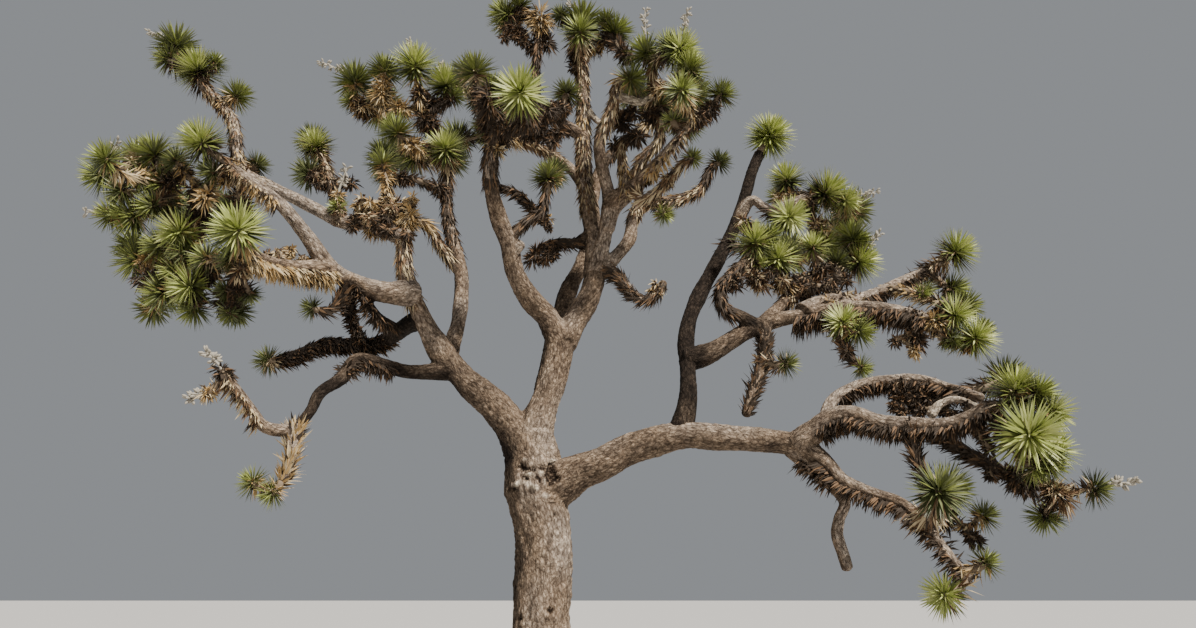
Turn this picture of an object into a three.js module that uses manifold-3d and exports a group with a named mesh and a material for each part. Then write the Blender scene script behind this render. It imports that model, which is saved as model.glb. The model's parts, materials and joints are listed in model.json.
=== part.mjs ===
// A spreading Joshua tree, 7.7 m high and about 8.6 m across, in millimetres, +Z up.
// +X is to the right and -Y towards someone standing in front of the tree. The origin is the
// middle of the trunk's flat cut at ground level.
import * as THREE from "three";
import { mergeVertices } from "three/addons/utils/BufferGeometryUtils.js";
import Module from "manifold-3d";

const wasm = await Module();
wasm.setup();

// The tree is measured as someone standing in front of it sees it. A station [across, away, up]
// gives where a point seems to lie on the upright plane through the trunk, and how far behind
// that plane it really is. Girths and head sizes are read on the same plane.
const EYE_ACROSS = 447;
const EYE_DISTANCE = 7400;
const EYE_HEIGHT = 1400;

// The trunk narrows upwards and swells again under its fork. Its stations are [across, up, share of the
// radius].
const TRUNK_STATIONS = [
  [0, 0, 1.12], [-1, 110, 1.11], [-3, 280, 1.09], [-5, 620, 1.05], [-10, 1400, 1], [-25, 1950, 1.02],
  [-62, 2120, 1.06], [-102, 2330, 1.1], [-150, 2680, 0.86],
];
const TRUNK_RADIUS = 232;
const TRUNK_SIDES = 10;
const ROOT_FLARE = 95;
const ROOT_FLARE_HEIGHT = 230;
const ROOT_LOBES = 5;
const ROOT_LOBE_SHARE = 0.09;

// Faceting and fit.
const LIMB_SIDES = 6;
const RING_SPACING = 540;
const LEAST_STEPS = 3;
const FIT_GAP = 0.4;
const WELD_GAP = 0.001;
const PROBE_RADIUS = 1;

// Masses of foliage: leaf heads on stalks that widen towards them.
// HEAD_RINGS gives each ring's place ahead of the head's centre and its reach, as shares of its radius.
const HEAD_RINGS = [[-0.7, 0.6], [0.05, 1.03], [0.88, 0.5]];
const HEAD_SIDES = 5;
const TUFT_DEPTH = 0.07;
const TUFT_WAVE = 3;
const TUFT_TURN = 5;
const STALK_RADIUS = 48;
const SIDE_TILT = 0.3;
const NECK_SHARE = 1.45;

const BARK = new THREE.MeshStandardMaterial({ color: 0x6f6252, roughness: 0.95, metalness: 0 });
const GREEN = new THREE.MeshStandardMaterial({ color: 0x76863a, roughness: 0.7, metalness: 0 });
const STRAW = new THREE.MeshStandardMaterial({ color: 0x8a6b42, roughness: 0.9, metalness: 0 });

// Each limb: its radius where it leaves its parent and at its end, and its stations.
const LIMBS = {
  // The left side.
  left_bough: {
    radii: [156, 112],
    stations: [[-145, 0, 2520], [-405, 30, 2895], [-690, 40, 3140], [-950, 40, 3420]],
  },
  left_shoulder: {
    radii: [98, 62],
    stations: [
      [-915, 40, 3370], [-1070, -20, 3605], [-1200, -120, 3850], [-1310, -220, 4080],
      [-1365, -260, 4350], [-1390, -250, 4600],
    ],
  },
  left_upright: {
    radii: [84, 42],
    stations: [
      [-930, 50, 3350], [-850, 240, 3620], [-810, 460, 3900], [-825, 640, 4200], [-905, 760, 4500],
      [-985, 820, 4800], [-1010, 840, 5200],
    ],
  },
  left_arm: {
    radii: [106, 50],
    stations: [
      [-1270, -190, 4010], [-1500, -380, 4010], [-1750, -520, 4080], [-2030, -700, 4240],
      [-2300, -880, 4580], [-2600, -1040, 4920], [-2950, -1180, 5180], [-3180, -1240, 5360],
    ],
  },
  left_arm_lower: {
    radii: [82, 58],
    stations: [[-2030, -700, 4230], [-2350, -900, 4260], [-2600, -1100, 4300], [-2820, -1300, 4400]],
  },
  left_reach: {
    radii: [70, 48],
    stations: [
      [-1380, -240, 4560], [-1700, -150, 4690], [-2000, -20, 4730], [-2250, 60, 4860],
      [-2600, 160, 5040], [-2960, 260, 5240], [-3080, 360, 5500], [-3160, 440, 5800],
      [-3340, 500, 6040], [-3500, 540, 6190],
    ],
  },
  lower_left: {
    radii: [70, 50],
    stations: [
      [-900, 40, 3270], [-1250, -80, 3260], [-1500, -220, 3330], [-1720, -350, 3380],
      [-1840, -480, 3200], [-2030, -640, 3060], [-2090, -720, 2900], [-2220, -820, 2745],
    ],
  },
  hook_riser: {
    radii: [50, 42],
    stations: [
      [-2190, -810, 2750], [-2360, -900, 2735], [-2490, -980, 2770], [-2590, -1040, 2890],
      [-2740, -1120, 3070], [-2880, -1180, 3220],
    ],
  },
  shaded_bough: {
    radii: [76, 60],
    stations: [
      [-1150, -60, 3760], [-1300, 160, 3690], [-1450, 400, 3570], [-1620, 600, 3500],
      [-1820, 780, 3510], [-2020, 940, 3510], [-2220, 1070, 3420], [-2420, 1150, 3350],
    ],
  },

  // The middle.
  centre_bough: {
    radii: [155, 120],
    stations: [[-140, 0, 2580], [-75, 20, 2850], [12, 50, 3130], [84, 80, 3400], [116, 100, 3620]],
  },
  centre_left: {
    radii: [112, 66],
    stations: [
      [108, 90, 3540], [-8, 20, 3755], [-180, -120, 3950], [-320, -300, 4200], [-385, -480, 4480],
      [-490, -640, 4750], [-565, -800, 5020], [-600, -940, 5320], [-590, -1000, 5560],
    ],
  },
  centre_right: {
    radii: [116, 98],
    stations: [[120, 90, 3540], [252, 160, 3760], [378, 240, 3990], [440, 310, 4260]],
  },
  centre_column: {
    radii: [80, 60],
    stations: [
      [418, 290, 4180], [400, 340, 4500], [358, 380, 4800], [322, 400, 5150], [300, 400, 5550],
      [300, 380, 5950], [285, 350, 6350], [275, 320, 6560],
    ],
  },
  centre_inner: {
    radii: [74, 50],
    stations: [
      [420, 290, 4200], [520, 220, 4650], [545, 120, 5000], [490, -20, 5280], [460, -120, 5560],
      [540, -200, 5820], [620, -260, 6080], [650, -280, 6260],
    ],
  },
  centre_outer: {
    radii: [66, 40],
    stations: [
      [430, 290, 4180], [600, 330, 4350], [740, 420, 4540], [775, 600, 4740], [870, 760, 4920],
      [1060, 880, 4935], [1250, 960, 4965], [1430, 1020, 5070], [1540, 1040, 5290],
    ],
  },
  centre_lean: {
    radii: [66, 48],
    stations: [
      [540, 130, 4930], [720, -20, 5050], [930, -240, 5250], [1120, -420, 5460], [1300, -560, 5700],
    ],
  },

  // The right side.
  right_bough: {
    radii: [164, 100],
    stations: [
      [5, 0, 2205], [260, -60, 2362], [500, -120, 2450], [750, -190, 2570], [1000, -260, 2650],
      [1250, -330, 2690], [1500, -410, 2670], [1750, -490, 2655], [2000, -570, 2630],
      [2220, -640, 2610],
    ],
  },
  right_upright: {
    radii: [86, 52],
    stations: [
      [1172, -300, 2700], [1238, -260, 2980], [1250, -160, 3250], [1246, 0, 3550], [1292, 140, 3780],
      [1398, 280, 4020], [1532, 420, 4260], [1656, 540, 4500], [1776, 640, 4760], [1860, 720, 5010],
      [1940, 780, 5260], [2022, 825, 5450],
    ],
  },
  right_shelf: {
    radii: [90, 46],
    stations: [
      [1236, -90, 3370], [1420, -130, 3420], [1620, -120, 3530], [1820, -80, 3650], [2050, -60, 3740],
      [2300, -100, 3790], [2550, -180, 3840], [2750, -260, 3870], [3000, -360, 3870],
      [3250, -440, 3830], [3450, -500, 3770],
    ],
  },
  right_shelf_riser: {
    radii: [66, 50],
    stations: [[1960, -60, 3700], [2120, 140, 3880], [2290, 360, 4040], [2440, 580, 4180]],
  },
  right_upper_tip: {
    radii: [50, 40],
    stations: [
      [2640, -220, 3850], [2850, -80, 3960], [3050, 60, 4030], [3250, 180, 4120], [3480, 300, 4230],
    ],
  },
  hanging_branch: {
    radii: [58, 44],
    stations: [
      [1950, -70, 3680], [1950, -160, 3450], [1870, -240, 3200], [1790, -300, 2980],
      [1750, -330, 2870],
    ],
  },
  right_fork: {
    radii: [96, 60],
    stations: [
      [2180, -630, 2600], [2350, -720, 2730], [2520, -800, 2850], [2690, -880, 2870],
      [2900, -980, 2800], [3200, -1100, 2780], [3500, -1220, 2780], [3740, -1330, 2860],
      [3900, -1400, 2950],
    ],
  },
  right_arch: {
    radii: [56, 42],
    stations: [
      [2440, -750, 2800], [2520, -640, 2990], [2700, -560, 3110], [3000, -560, 3180],
      [3300, -640, 3190], [3600, -820, 3110], [3850, -1060, 3020],
    ],
  },
  right_fork_tail: {
    radii: [56, 44],
    stations: [[3320, -1150, 2770], [3500, -1120, 2640], [3720, -1100, 2500], [3930, -1120, 2400]],
  },
  right_drop: {
    radii: [62, 50],
    stations: [
      [2120, -610, 2580], [2320, -650, 2390], [2470, -690, 2240], [2555, -720, 2110],
      [2500, -710, 1990], [2465, -700, 1850], [2500, -710, 1700], [2530, -720, 1570],
    ],
  },
  right_sweep: {
    radii: [72, 42],
    stations: [
      [2240, -650, 2590], [2420, -760, 2450], [2550, -880, 2300], [2780, -1000, 2190],
      [3020, -1120, 2110], [3180, -1220, 1970], [3300, -1300, 1810], [3430, -1380, 1620],
      [3540, -1440, 1480],
    ],
  },

  // The far side, hidden from the front by the limbs and leaves of the middle.
  rear_bough: {
    radii: [100, 66],
    stations: [
      [-20, 50, 3080], [40, 420, 3400], [90, 760, 3720], [180, 1040, 4040], [330, 1280, 4360],
      [400, 1440, 4700], [380, 1540, 5020],
    ],
  },
  rear_left: {
    radii: [60, 40],
    stations: [[385, 1520, 4960], [200, 1620, 5260], [-80, 1660, 5480], [-400, 1680, 5620]],
  },
  rear_right: {
    radii: [60, 40],
    stations: [[385, 1520, 4960], [480, 1620, 5300], [690, 1700, 5560], [900, 1740, 5740]],
  },
};

// Each mass of foliage: the limb that bears it, how far along that limb it springs, its leaf heads as
// [across, away, up, radius], and whether it is mostly dead leaves. A small head is a tuft along a branch.
const MASSES = {
  top_left_mass: {
    from: "left_reach", at: 1,
    heads: [[-3610, 560, 6400, 260], [-3190, 560, 6100, 165], [-3860, 600, 6720, 240]],
  },
  left_upper_mass: {
    from: "left_arm", at: 1,
    heads: [[-3440, -1300, 5560, 270], [-3300, -1180, 5250, 190], [-3860, -1020, 5480, 200]],
  },
  left_far_mass: {
    from: "left_arm", at: 0.93,
    heads: [[-3950, -900, 5170, 245], [-4380, -960, 5180, 240]],
  },
  left_bright_mass: {
    from: "left_arm_lower", at: 1,
    heads: [[-2970, -1480, 4670, 300], [-2980, -1260, 4350, 180]],
  },
  left_middle_mass: {
    from: "left_arm", at: 0.82,
    heads: [[-3350, -700, 4680, 240], [-3510, -1040, 4560, 250], [-3880, -900, 4800, 250]],
  },
  left_bottom_mass: {
    from: "left_arm_lower", at: 0.62,
    heads: [
      [-2960, -860, 3990, 210], [-3340, -1060, 4080, 250], [-3640, -900, 4180, 220],
      [-3900, -780, 4290, 200],
    ],
  },
  left_rear_mass: {
    from: "left_reach", at: 0.52,
    heads: [
      [-3000, 760, 4800, 230], [-3420, 860, 4800, 240], [-3500, 1060, 4420, 230],
      [-3280, 1340, 4900, 230],
    ],
  },
  left_hub_mass: {
    from: "left_shoulder", at: 1, dead: true,
    heads: [
      [-1480, -300, 4900, 230], [-1740, -340, 4820, 190], [-1500, 20, 4760, 230],
      [-1600, 380, 4760, 220],
    ],
  },
  left_pair_mass: {
    from: "left_reach", at: 0.27,
    heads: [[-2310, 320, 5190, 175], [-2270, 360, 5510, 210]],
  },
  left_crown_middle_mass: {
    from: "left_upright", at: 1,
    heads: [
      [-1090, 700, 5490, 240], [-1540, 560, 5620, 230], [-1360, 1060, 5440, 220],
      [-1690, 440, 5370, 165],
    ],
  },
  left_crown_top_mass: {
    from: "left_upright", at: 0.93,
    heads: [
      [-1200, 880, 6240, 260], [-1510, 700, 6430, 270],
      [-2030, 900, 6320, 225], [-1700, 1380, 5980, 240],
    ],
  },
  centre_left_mass: {
    from: "centre_left", at: 1,
    heads: [
      [-580, -960, 5900, 260], [-350, -1380, 6150, 275], [-760, -980, 6310, 225],
      [-150, -760, 5850, 215], [-440, -1780, 5880, 250],
    ],
  },
  centre_top_left_mass: {
    from: "centre_column", at: 0.62,
    heads: [[-130, 100, 6160, 80], [-170, 0, 7010, 205], [-530, 40, 7080, 220]],
  },
  centre_top_mass: {
    from: "centre_column", at: 1,
    heads: [[280, 320, 6960, 270], [610, 220, 6820, 210]],
  },
  centre_inner_mass: {
    from: "centre_inner", at: 1,
    heads: [[800, -330, 6280, 200], [880, -460, 6570, 230], [1040, -20, 6050, 200]],
  },
  centre_outer_mass: {
    from: "centre_lean", at: 1,
    heads: [
      [1380, -640, 6150, 230], [1690, -600, 6080, 180], [1380, -840, 6480, 230],
      [1200, -700, 6690, 220],
    ],
  },
  rear_left_mass: {
    from: "rear_left", at: 1,
    heads: [
      [-600, 1720, 5760, 240], [-250, 1980, 5900, 240], [-960, 1840, 5600, 230],
      [-620, 1480, 6180, 210],
    ],
  },
  rear_right_mass: {
    from: "rear_right", at: 1,
    heads: [
      [1080, 1780, 5960, 240], [800, 2060, 6120, 230], [1420, 1700, 6120, 230],
      [1330, 1960, 5800, 220],
    ],
  },
  right_upright_mass: { from: "right_upright", at: 1, heads: [[2135, 840, 5670, 240]] },
  right_crown_left_mass: {
    from: "right_shelf_riser", at: 0.5,
    heads: [[2180, 200, 4290, 220], [2010, 40, 4510, 260], [2270, 180, 4790, 210]],
  },
  right_crown_mass: {
    from: "right_shelf_riser", at: 1,
    heads: [
      [2600, 700, 4520, 240], [2860, 500, 4390, 235], [2640, 600, 4980, 275], [2330, 720, 5130, 200],
      [2880, 960, 4860, 210], [2240, 1240, 4400, 230],
    ],
  },
  right_far_upper_mass: {
    from: "right_upper_tip", at: 1,
    heads: [[3760, 340, 4430, 240], [3640, 260, 4110, 180]],
  },
  right_far_lower_mass: {
    from: "right_shelf", at: 1,
    heads: [[3700, -560, 3720, 250], [3970, -620, 3600, 200]],
  },
  right_under_mass: {
    from: "right_shelf", at: 0.68,
    heads: [[2740, -420, 3660, 190], [2690, -440, 3430, 110], [2830, -460, 3280, 130]],
  },
  right_end_mass: {
    from: "right_fork", at: 1,
    heads: [[4140, -1450, 3110, 280], [4230, -1640, 2730, 340], [4000, -1440, 2730, 180]],
  },
  right_hanging_mass: {
    from: "right_fork", at: 0.62,
    heads: [[3210, -1120, 2500, 105], [3460, -1200, 2230, 270], [3420, -1120, 1960, 160]],
  },
  right_brown_mass: {
    from: "right_fork_tail", at: 1, dead: true,
    heads: [
      [4120, -1130, 2280, 205], [4400, -1180, 2160, 200], [4730, -1200, 2200, 175],
      [4150, -1040, 2010, 185],
    ],
  },
  right_low_mass: {
    from: "right_sweep", at: 1,
    heads: [[3660, -1440, 1620, 150], [3300, -1500, 1350, 200]],
  },
  stub_mass: {
    from: "lower_left", at: 1,
    heads: [[-2370, -900, 2220, 140], [-2540, -910, 2290, 140]],
  },
};

// How much larger a thing is than it looks on the trunk's plane, when it is this far behind it.
function depthScale(away) {
  return (EYE_DISTANCE + away) / EYE_DISTANCE;
}

// A station slid along the line of sight to its true depth.
function place([across, away, up]) {
  const k = depthScale(away);
  const x = EYE_ACROSS + (across - EYE_ACROSS) * k;
  return new THREE.Vector3(x, away, EYE_HEIGHT + (up - EYE_HEIGHT) * k);
}

// A closed loft through rings of points that run the same way round, each end closed from its first point.
function loftGeometry(rings) {
  const sides = rings[0].length;
  const index = [];
  for (let r = 0; r + 1 < rings.length; r++)
    for (let s = 0; s < sides; s++) {
      const a = r * sides + s;
      const b = r * sides + ((s + 1) % sides);
      index.push(a, b, a + sides, b, b + sides, a + sides);
    }
  const last = (rings.length - 1) * sides;
  for (let s = 1; s + 1 < sides; s++) {
    index.push(0, s + 1, s);
    index.push(last, last + s, last + s + 1);
  }
  const geometry = new THREE.BufferGeometry().setFromPoints(rings.flat());
  geometry.setIndex(index);
  return geometry;
}

// The smooth curve through a limb's stations.
function limbCurve({ stations }) {
  return new THREE.CatmullRomCurve3(stations.map(place), false, "centripetal");
}

// A limb: rings of a round section carried along its curve, narrowing evenly to its end.
function limbGeometry(limb, swell = 0) {
  const curve = limbCurve(limb);
  const steps = Math.max(LEAST_STEPS, Math.round(curve.getLength() / RING_SPACING));
  const frames = curve.computeFrenetFrames(steps, false);
  const rings = [];
  for (let i = 0; i <= steps; i++) {
    const share = i / steps;
    const endShift = i === 0 ? -swell : i === steps ? swell : 0;
    const centre = curve.getPointAt(share).addScaledVector(frames.tangents[i], endShift);
    const narrowed = THREE.MathUtils.lerp(limb.radii[0], limb.radii[1], share);
    const radius = narrowed * depthScale(centre.y) + swell;
    rings.push(
      Array.from({ length: LIMB_SIDES }, (_, s) => {
        const angle = (2 * Math.PI * s) / LIMB_SIDES;
        return centre
          .clone()
          .addScaledVector(frames.normals[i], radius * Math.cos(angle))
          .addScaledVector(frames.binormals[i], radius * Math.sin(angle));
      }),
    );
  }
  return loftGeometry(rings);
}

// The trunk: level rings from the flat cut at the ground, flaring into root lobes there.
function trunkGeometry(swell = 0) {
  const top = TRUNK_STATIONS.at(-1)[1];
  const rings = TRUNK_STATIONS.map(([across, up, share]) => {
    const fade = Math.exp(-up / ROOT_FLARE_HEIGHT);
    return Array.from({ length: TRUNK_SIDES }, (_, s) => {
      const angle = (2 * Math.PI * s) / TRUNK_SIDES;
      const lobes = 1 + ROOT_LOBE_SHARE * fade * Math.cos(ROOT_LOBES * angle);
      const radius = (TRUNK_RADIUS * share + ROOT_FLARE * fade) * lobes + swell;
      const level = up === top ? up + swell : up;
      return new THREE.Vector3(across + radius * Math.cos(angle), radius * Math.sin(angle), level);
    });
  });
  return loftGeometry(rings);
}

// A leaf head on its stalk: rings carried straight from the bearer to the head, thin along the stalk and
// then swelling into a tufted ball round the head's centre.
function headGeometry(start, { centre, radius }, swell = 0) {
  const along = centre.clone().sub(start).normalize();
  const side = new THREE.Vector3(along.z, SIDE_TILT, -along.x).cross(along).normalize();
  const up = along.clone().cross(side);
  const ball = HEAD_RINGS.map(([ahead, share]) => [
    centre.clone().addScaledVector(along, ahead * radius),
    share * radius,
  ]);
  const rings = [[start, STALK_RADIUS], ...ball];
  const last = rings.length - 1;
  return loftGeometry(
    rings.map(([middle, reach], r) =>
      Array.from({ length: HEAD_SIDES }, (_, s) => {
        const angle = (2 * Math.PI * (s + r / 2)) / HEAD_SIDES;
        const tuft = r > 0 ? 1 + TUFT_DEPTH * Math.sin(TUFT_WAVE * s + TUFT_TURN * r + centre.x) : 1;
        const out = reach * tuft + swell;
        return middle
          .clone()
          .addScaledVector(along, r === 0 ? -swell : r === last ? swell : 0)
          .addScaledVector(side, out * Math.cos(angle))
          .addScaledVector(up, out * Math.sin(angle));
      }),
    ),
  );
}

// A small ball, used round a limb's end and to test whether a point lies in a solid.
function ballGeometry({ centre, radius }, swell = 0) {
  const geometry = new THREE.IcosahedronGeometry(radius + swell).translate(centre.x, centre.y, centre.z);
  geometry.deleteAttribute("normal");
  geometry.deleteAttribute("uv");
  return geometry;
}

// A geometry as a solid that can be cut.
function solid(geometry) {
  const bare = mergeVertices(geometry, WELD_GAP);
  return new wasm.Manifold(
    new wasm.Mesh({
      numProp: 3,
      vertProperties: new Float32Array(bare.getAttribute("position").array),
      triVerts: new Uint32Array(bare.index.array),
    }),
  );
}

// The largest piece of a solid, so that slivers cut off by a neighbour are dropped.
function largest(made) {
  return made.decompose().reduce((a, b) => (a.volume() > b.volume() ? a : b));
}

function geometryOf(made) {
  const mesh = made.getMesh();
  const geometry = new THREE.BufferGeometry();
  geometry.setAttribute("position", new THREE.BufferAttribute(mesh.vertProperties, 3));
  geometry.setIndex(new THREE.BufferAttribute(mesh.triVerts, 1));
  geometry.computeVertexNormals();
  return geometry;
}

// Whether a point lies in a solid: a small ball round it meets the solid.
function holds(made, point) {
  return !made.intersect(solid(ballGeometry({ centre: point, radius: PROBE_RADIUS }))).isEmpty();
}

// A mass of foliage: each head hangs by a stalk from the nearest of the root and the heads before it.
function massSolid(root, heads, swell = 0) {
  const joined = [root];
  let made = root.radius > 0 ? solid(ballGeometry(root, swell)) : null;
  for (const [across, away, up, radius] of heads) {
    const head = { centre: place([across, away, up]), radius: radius * depthScale(away) };
    const gap = (other) => other.centre.distanceTo(head.centre) - other.radius;
    const bearer = joined.reduce((a, b) => (gap(a) <= gap(b) ? a : b));
    const stalked = solid(headGeometry(bearer.centre, head, swell));
    made = made ? made.add(stalked) : stalked;
    joined.push(head);
  }
  return made;
}

// Limbs in growing order: each is cut clear of the trunk and of the limbs before it.
const trunk = { name: "trunk", shape: solid(trunkGeometry()), fat: solid(trunkGeometry(FIT_GAP)), ends: [] };
const limbs = [trunk];
for (const [name, limb] of Object.entries(LIMBS)) {
  let shape = solid(limbGeometry(limb));
  for (const earlier of limbs) shape = shape.subtract(earlier.fat);
  const curve = limbCurve(limb);
  limbs.push({
    name,
    shape: largest(shape),
    fat: solid(limbGeometry(limb, FIT_GAP)),
    ends: [curve.getPointAt(0), curve.getPointAt(1)],
  });
}

// The point where a mass springs: at a limb's end it takes that end in, and further back it has no size.
function massRoot({ from, at }) {
  const limb = LIMBS[from];
  const centre = limbCurve(limb).getPointAt(at);
  return { centre, radius: at < 1 ? 0 : limb.radii[1] * depthScale(centre.y) * NECK_SHARE };
}

// A limb that ends in a mass is cut back to its surface. Any other limb keeps its whole shape, with the
// mass cut round it.
const masses = [];
for (const [name, mass] of Object.entries(MASSES)) {
  const raw = massSolid(massRoot(mass), mass.heads);
  const fat = massSolid(massRoot(mass), mass.heads, FIT_GAP);
  let shape = raw;
  for (const limb of limbs) {
    if (raw.intersect(limb.shape).isEmpty()) continue;
    if (limb.ends.some((end) => holds(raw, end))) limb.shape = largest(limb.shape.subtract(fat));
    else shape = shape.subtract(limb.fat);
  }
  for (const earlier of masses) shape = shape.subtract(earlier.fat);
  masses.push({ name, shape: largest(shape), fat, dead: mass.dead });
}

const tree = new THREE.Group();
tree.name = "joshua_tree";
for (const { name, shape } of limbs) {
  const mesh = new THREE.Mesh(geometryOf(shape), BARK);
  mesh.name = name;
  tree.add(mesh);
}
for (const { name, shape, dead } of masses) {
  const mesh = new THREE.Mesh(geometryOf(shape), dead ? STRAW : GREEN);
  mesh.name = name;
  tree.add(mesh);
}

export default tree;
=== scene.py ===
import json
from functools import lru_cache
from itertools import chain

import bmesh
import bpy
import numpy as np
from bpy.props import FloatProperty, FloatVectorProperty, IntProperty, PointerProperty
from bpy.types import Operator, Panel, PropertyGroup
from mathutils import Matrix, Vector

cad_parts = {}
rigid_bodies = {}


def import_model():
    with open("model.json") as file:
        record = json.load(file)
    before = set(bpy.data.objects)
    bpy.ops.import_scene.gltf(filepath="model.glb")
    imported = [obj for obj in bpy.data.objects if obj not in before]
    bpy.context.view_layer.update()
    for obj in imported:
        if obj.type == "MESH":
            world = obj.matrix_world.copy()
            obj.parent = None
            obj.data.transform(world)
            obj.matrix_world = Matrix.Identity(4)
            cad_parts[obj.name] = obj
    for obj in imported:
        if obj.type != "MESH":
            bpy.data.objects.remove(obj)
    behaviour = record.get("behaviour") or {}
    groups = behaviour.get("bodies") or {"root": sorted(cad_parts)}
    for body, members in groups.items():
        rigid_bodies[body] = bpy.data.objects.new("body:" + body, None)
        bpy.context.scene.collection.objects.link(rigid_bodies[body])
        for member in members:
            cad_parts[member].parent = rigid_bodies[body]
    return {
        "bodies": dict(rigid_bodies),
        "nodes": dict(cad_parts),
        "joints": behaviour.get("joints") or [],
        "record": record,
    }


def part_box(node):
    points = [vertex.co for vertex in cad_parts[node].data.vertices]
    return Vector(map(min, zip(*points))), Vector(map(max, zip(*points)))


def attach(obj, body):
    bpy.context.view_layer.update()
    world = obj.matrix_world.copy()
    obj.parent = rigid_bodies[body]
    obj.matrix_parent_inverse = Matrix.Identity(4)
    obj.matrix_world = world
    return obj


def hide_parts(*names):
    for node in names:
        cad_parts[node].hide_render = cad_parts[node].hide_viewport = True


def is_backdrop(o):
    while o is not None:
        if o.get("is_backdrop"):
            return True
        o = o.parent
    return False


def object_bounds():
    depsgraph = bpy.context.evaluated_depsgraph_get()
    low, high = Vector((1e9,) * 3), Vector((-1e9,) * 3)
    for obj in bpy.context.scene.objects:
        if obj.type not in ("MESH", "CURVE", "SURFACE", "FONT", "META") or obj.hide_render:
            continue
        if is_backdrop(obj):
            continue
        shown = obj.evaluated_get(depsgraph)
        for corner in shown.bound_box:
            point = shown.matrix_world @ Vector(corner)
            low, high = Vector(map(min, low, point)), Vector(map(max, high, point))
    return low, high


bl_info = {
    "name": "Joshua Tree",
    "version": (1, 0, 0),
    "blender": (4, 5, 0),
    "location": "View3D > Sidebar > Joshua Tree",
    "description": "Grows a Joshua tree: plated bark, dagger-leaf rosettes and skirts of dead leaves",
    "category": "Add Mesh",
}

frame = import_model()
CAD_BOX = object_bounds()

# Where someone stands who looks at the tree, in metres. Stations are read from there, in millimetres, as
# (across, away, up): where a point seems to lie on the upright plane through the trunk, and how far
# behind that plane it really is.
EYE = np.array([0.447, -7.4, 1.4])
EYE_PITCH = np.radians(18.0)
LENS = 25.6
SENSOR = 36.0
MM = 0.001
UP = np.array([0.0, 0.0, 1.0])

TRUNK_PATH_STEP = 0.05
LIMB_PATH_STEP = 0.04
TRUNK_SIDES = 48
LIMB_SIDES = 20
TWIG_SIDES = 8
# Points of the fine curve for each station, and how far a tube's first and last pole stand out, as shares of
# its radius.
FINE_POINTS = 24
POLES = (0.3, 0.5)
# The depth below ground at which the trunk stops widening.
BURIED = 0.06
# How fast the root flare and its lobes fade with height, and how deep the lobes are.
FLARE_FADE = 0.23
LOBE_DEPTH = 0.09

TRUNK_STATIONS = ((0, 0, -120), (0, 0, 0), (-3, 0, 280), (-5, 0, 620), (-10, 0, 1400), (-25, 0, 1950),
    (-62, 0, 2120), (-102, 0, 2330), (-150, 0, 2680))
# How the trunk narrows upwards and swells again under its fork: heights, and its radius there as a share.
TRUNK_SWELL = ((0.0, 0.62, 1.3, 1.85, 2.12, 2.33, 2.5, 2.68), (1.12, 1.05, 1.0, 1.0, 1.06, 1.1, 1.0, 0.86))
ROOT_LOBES = 5

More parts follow.
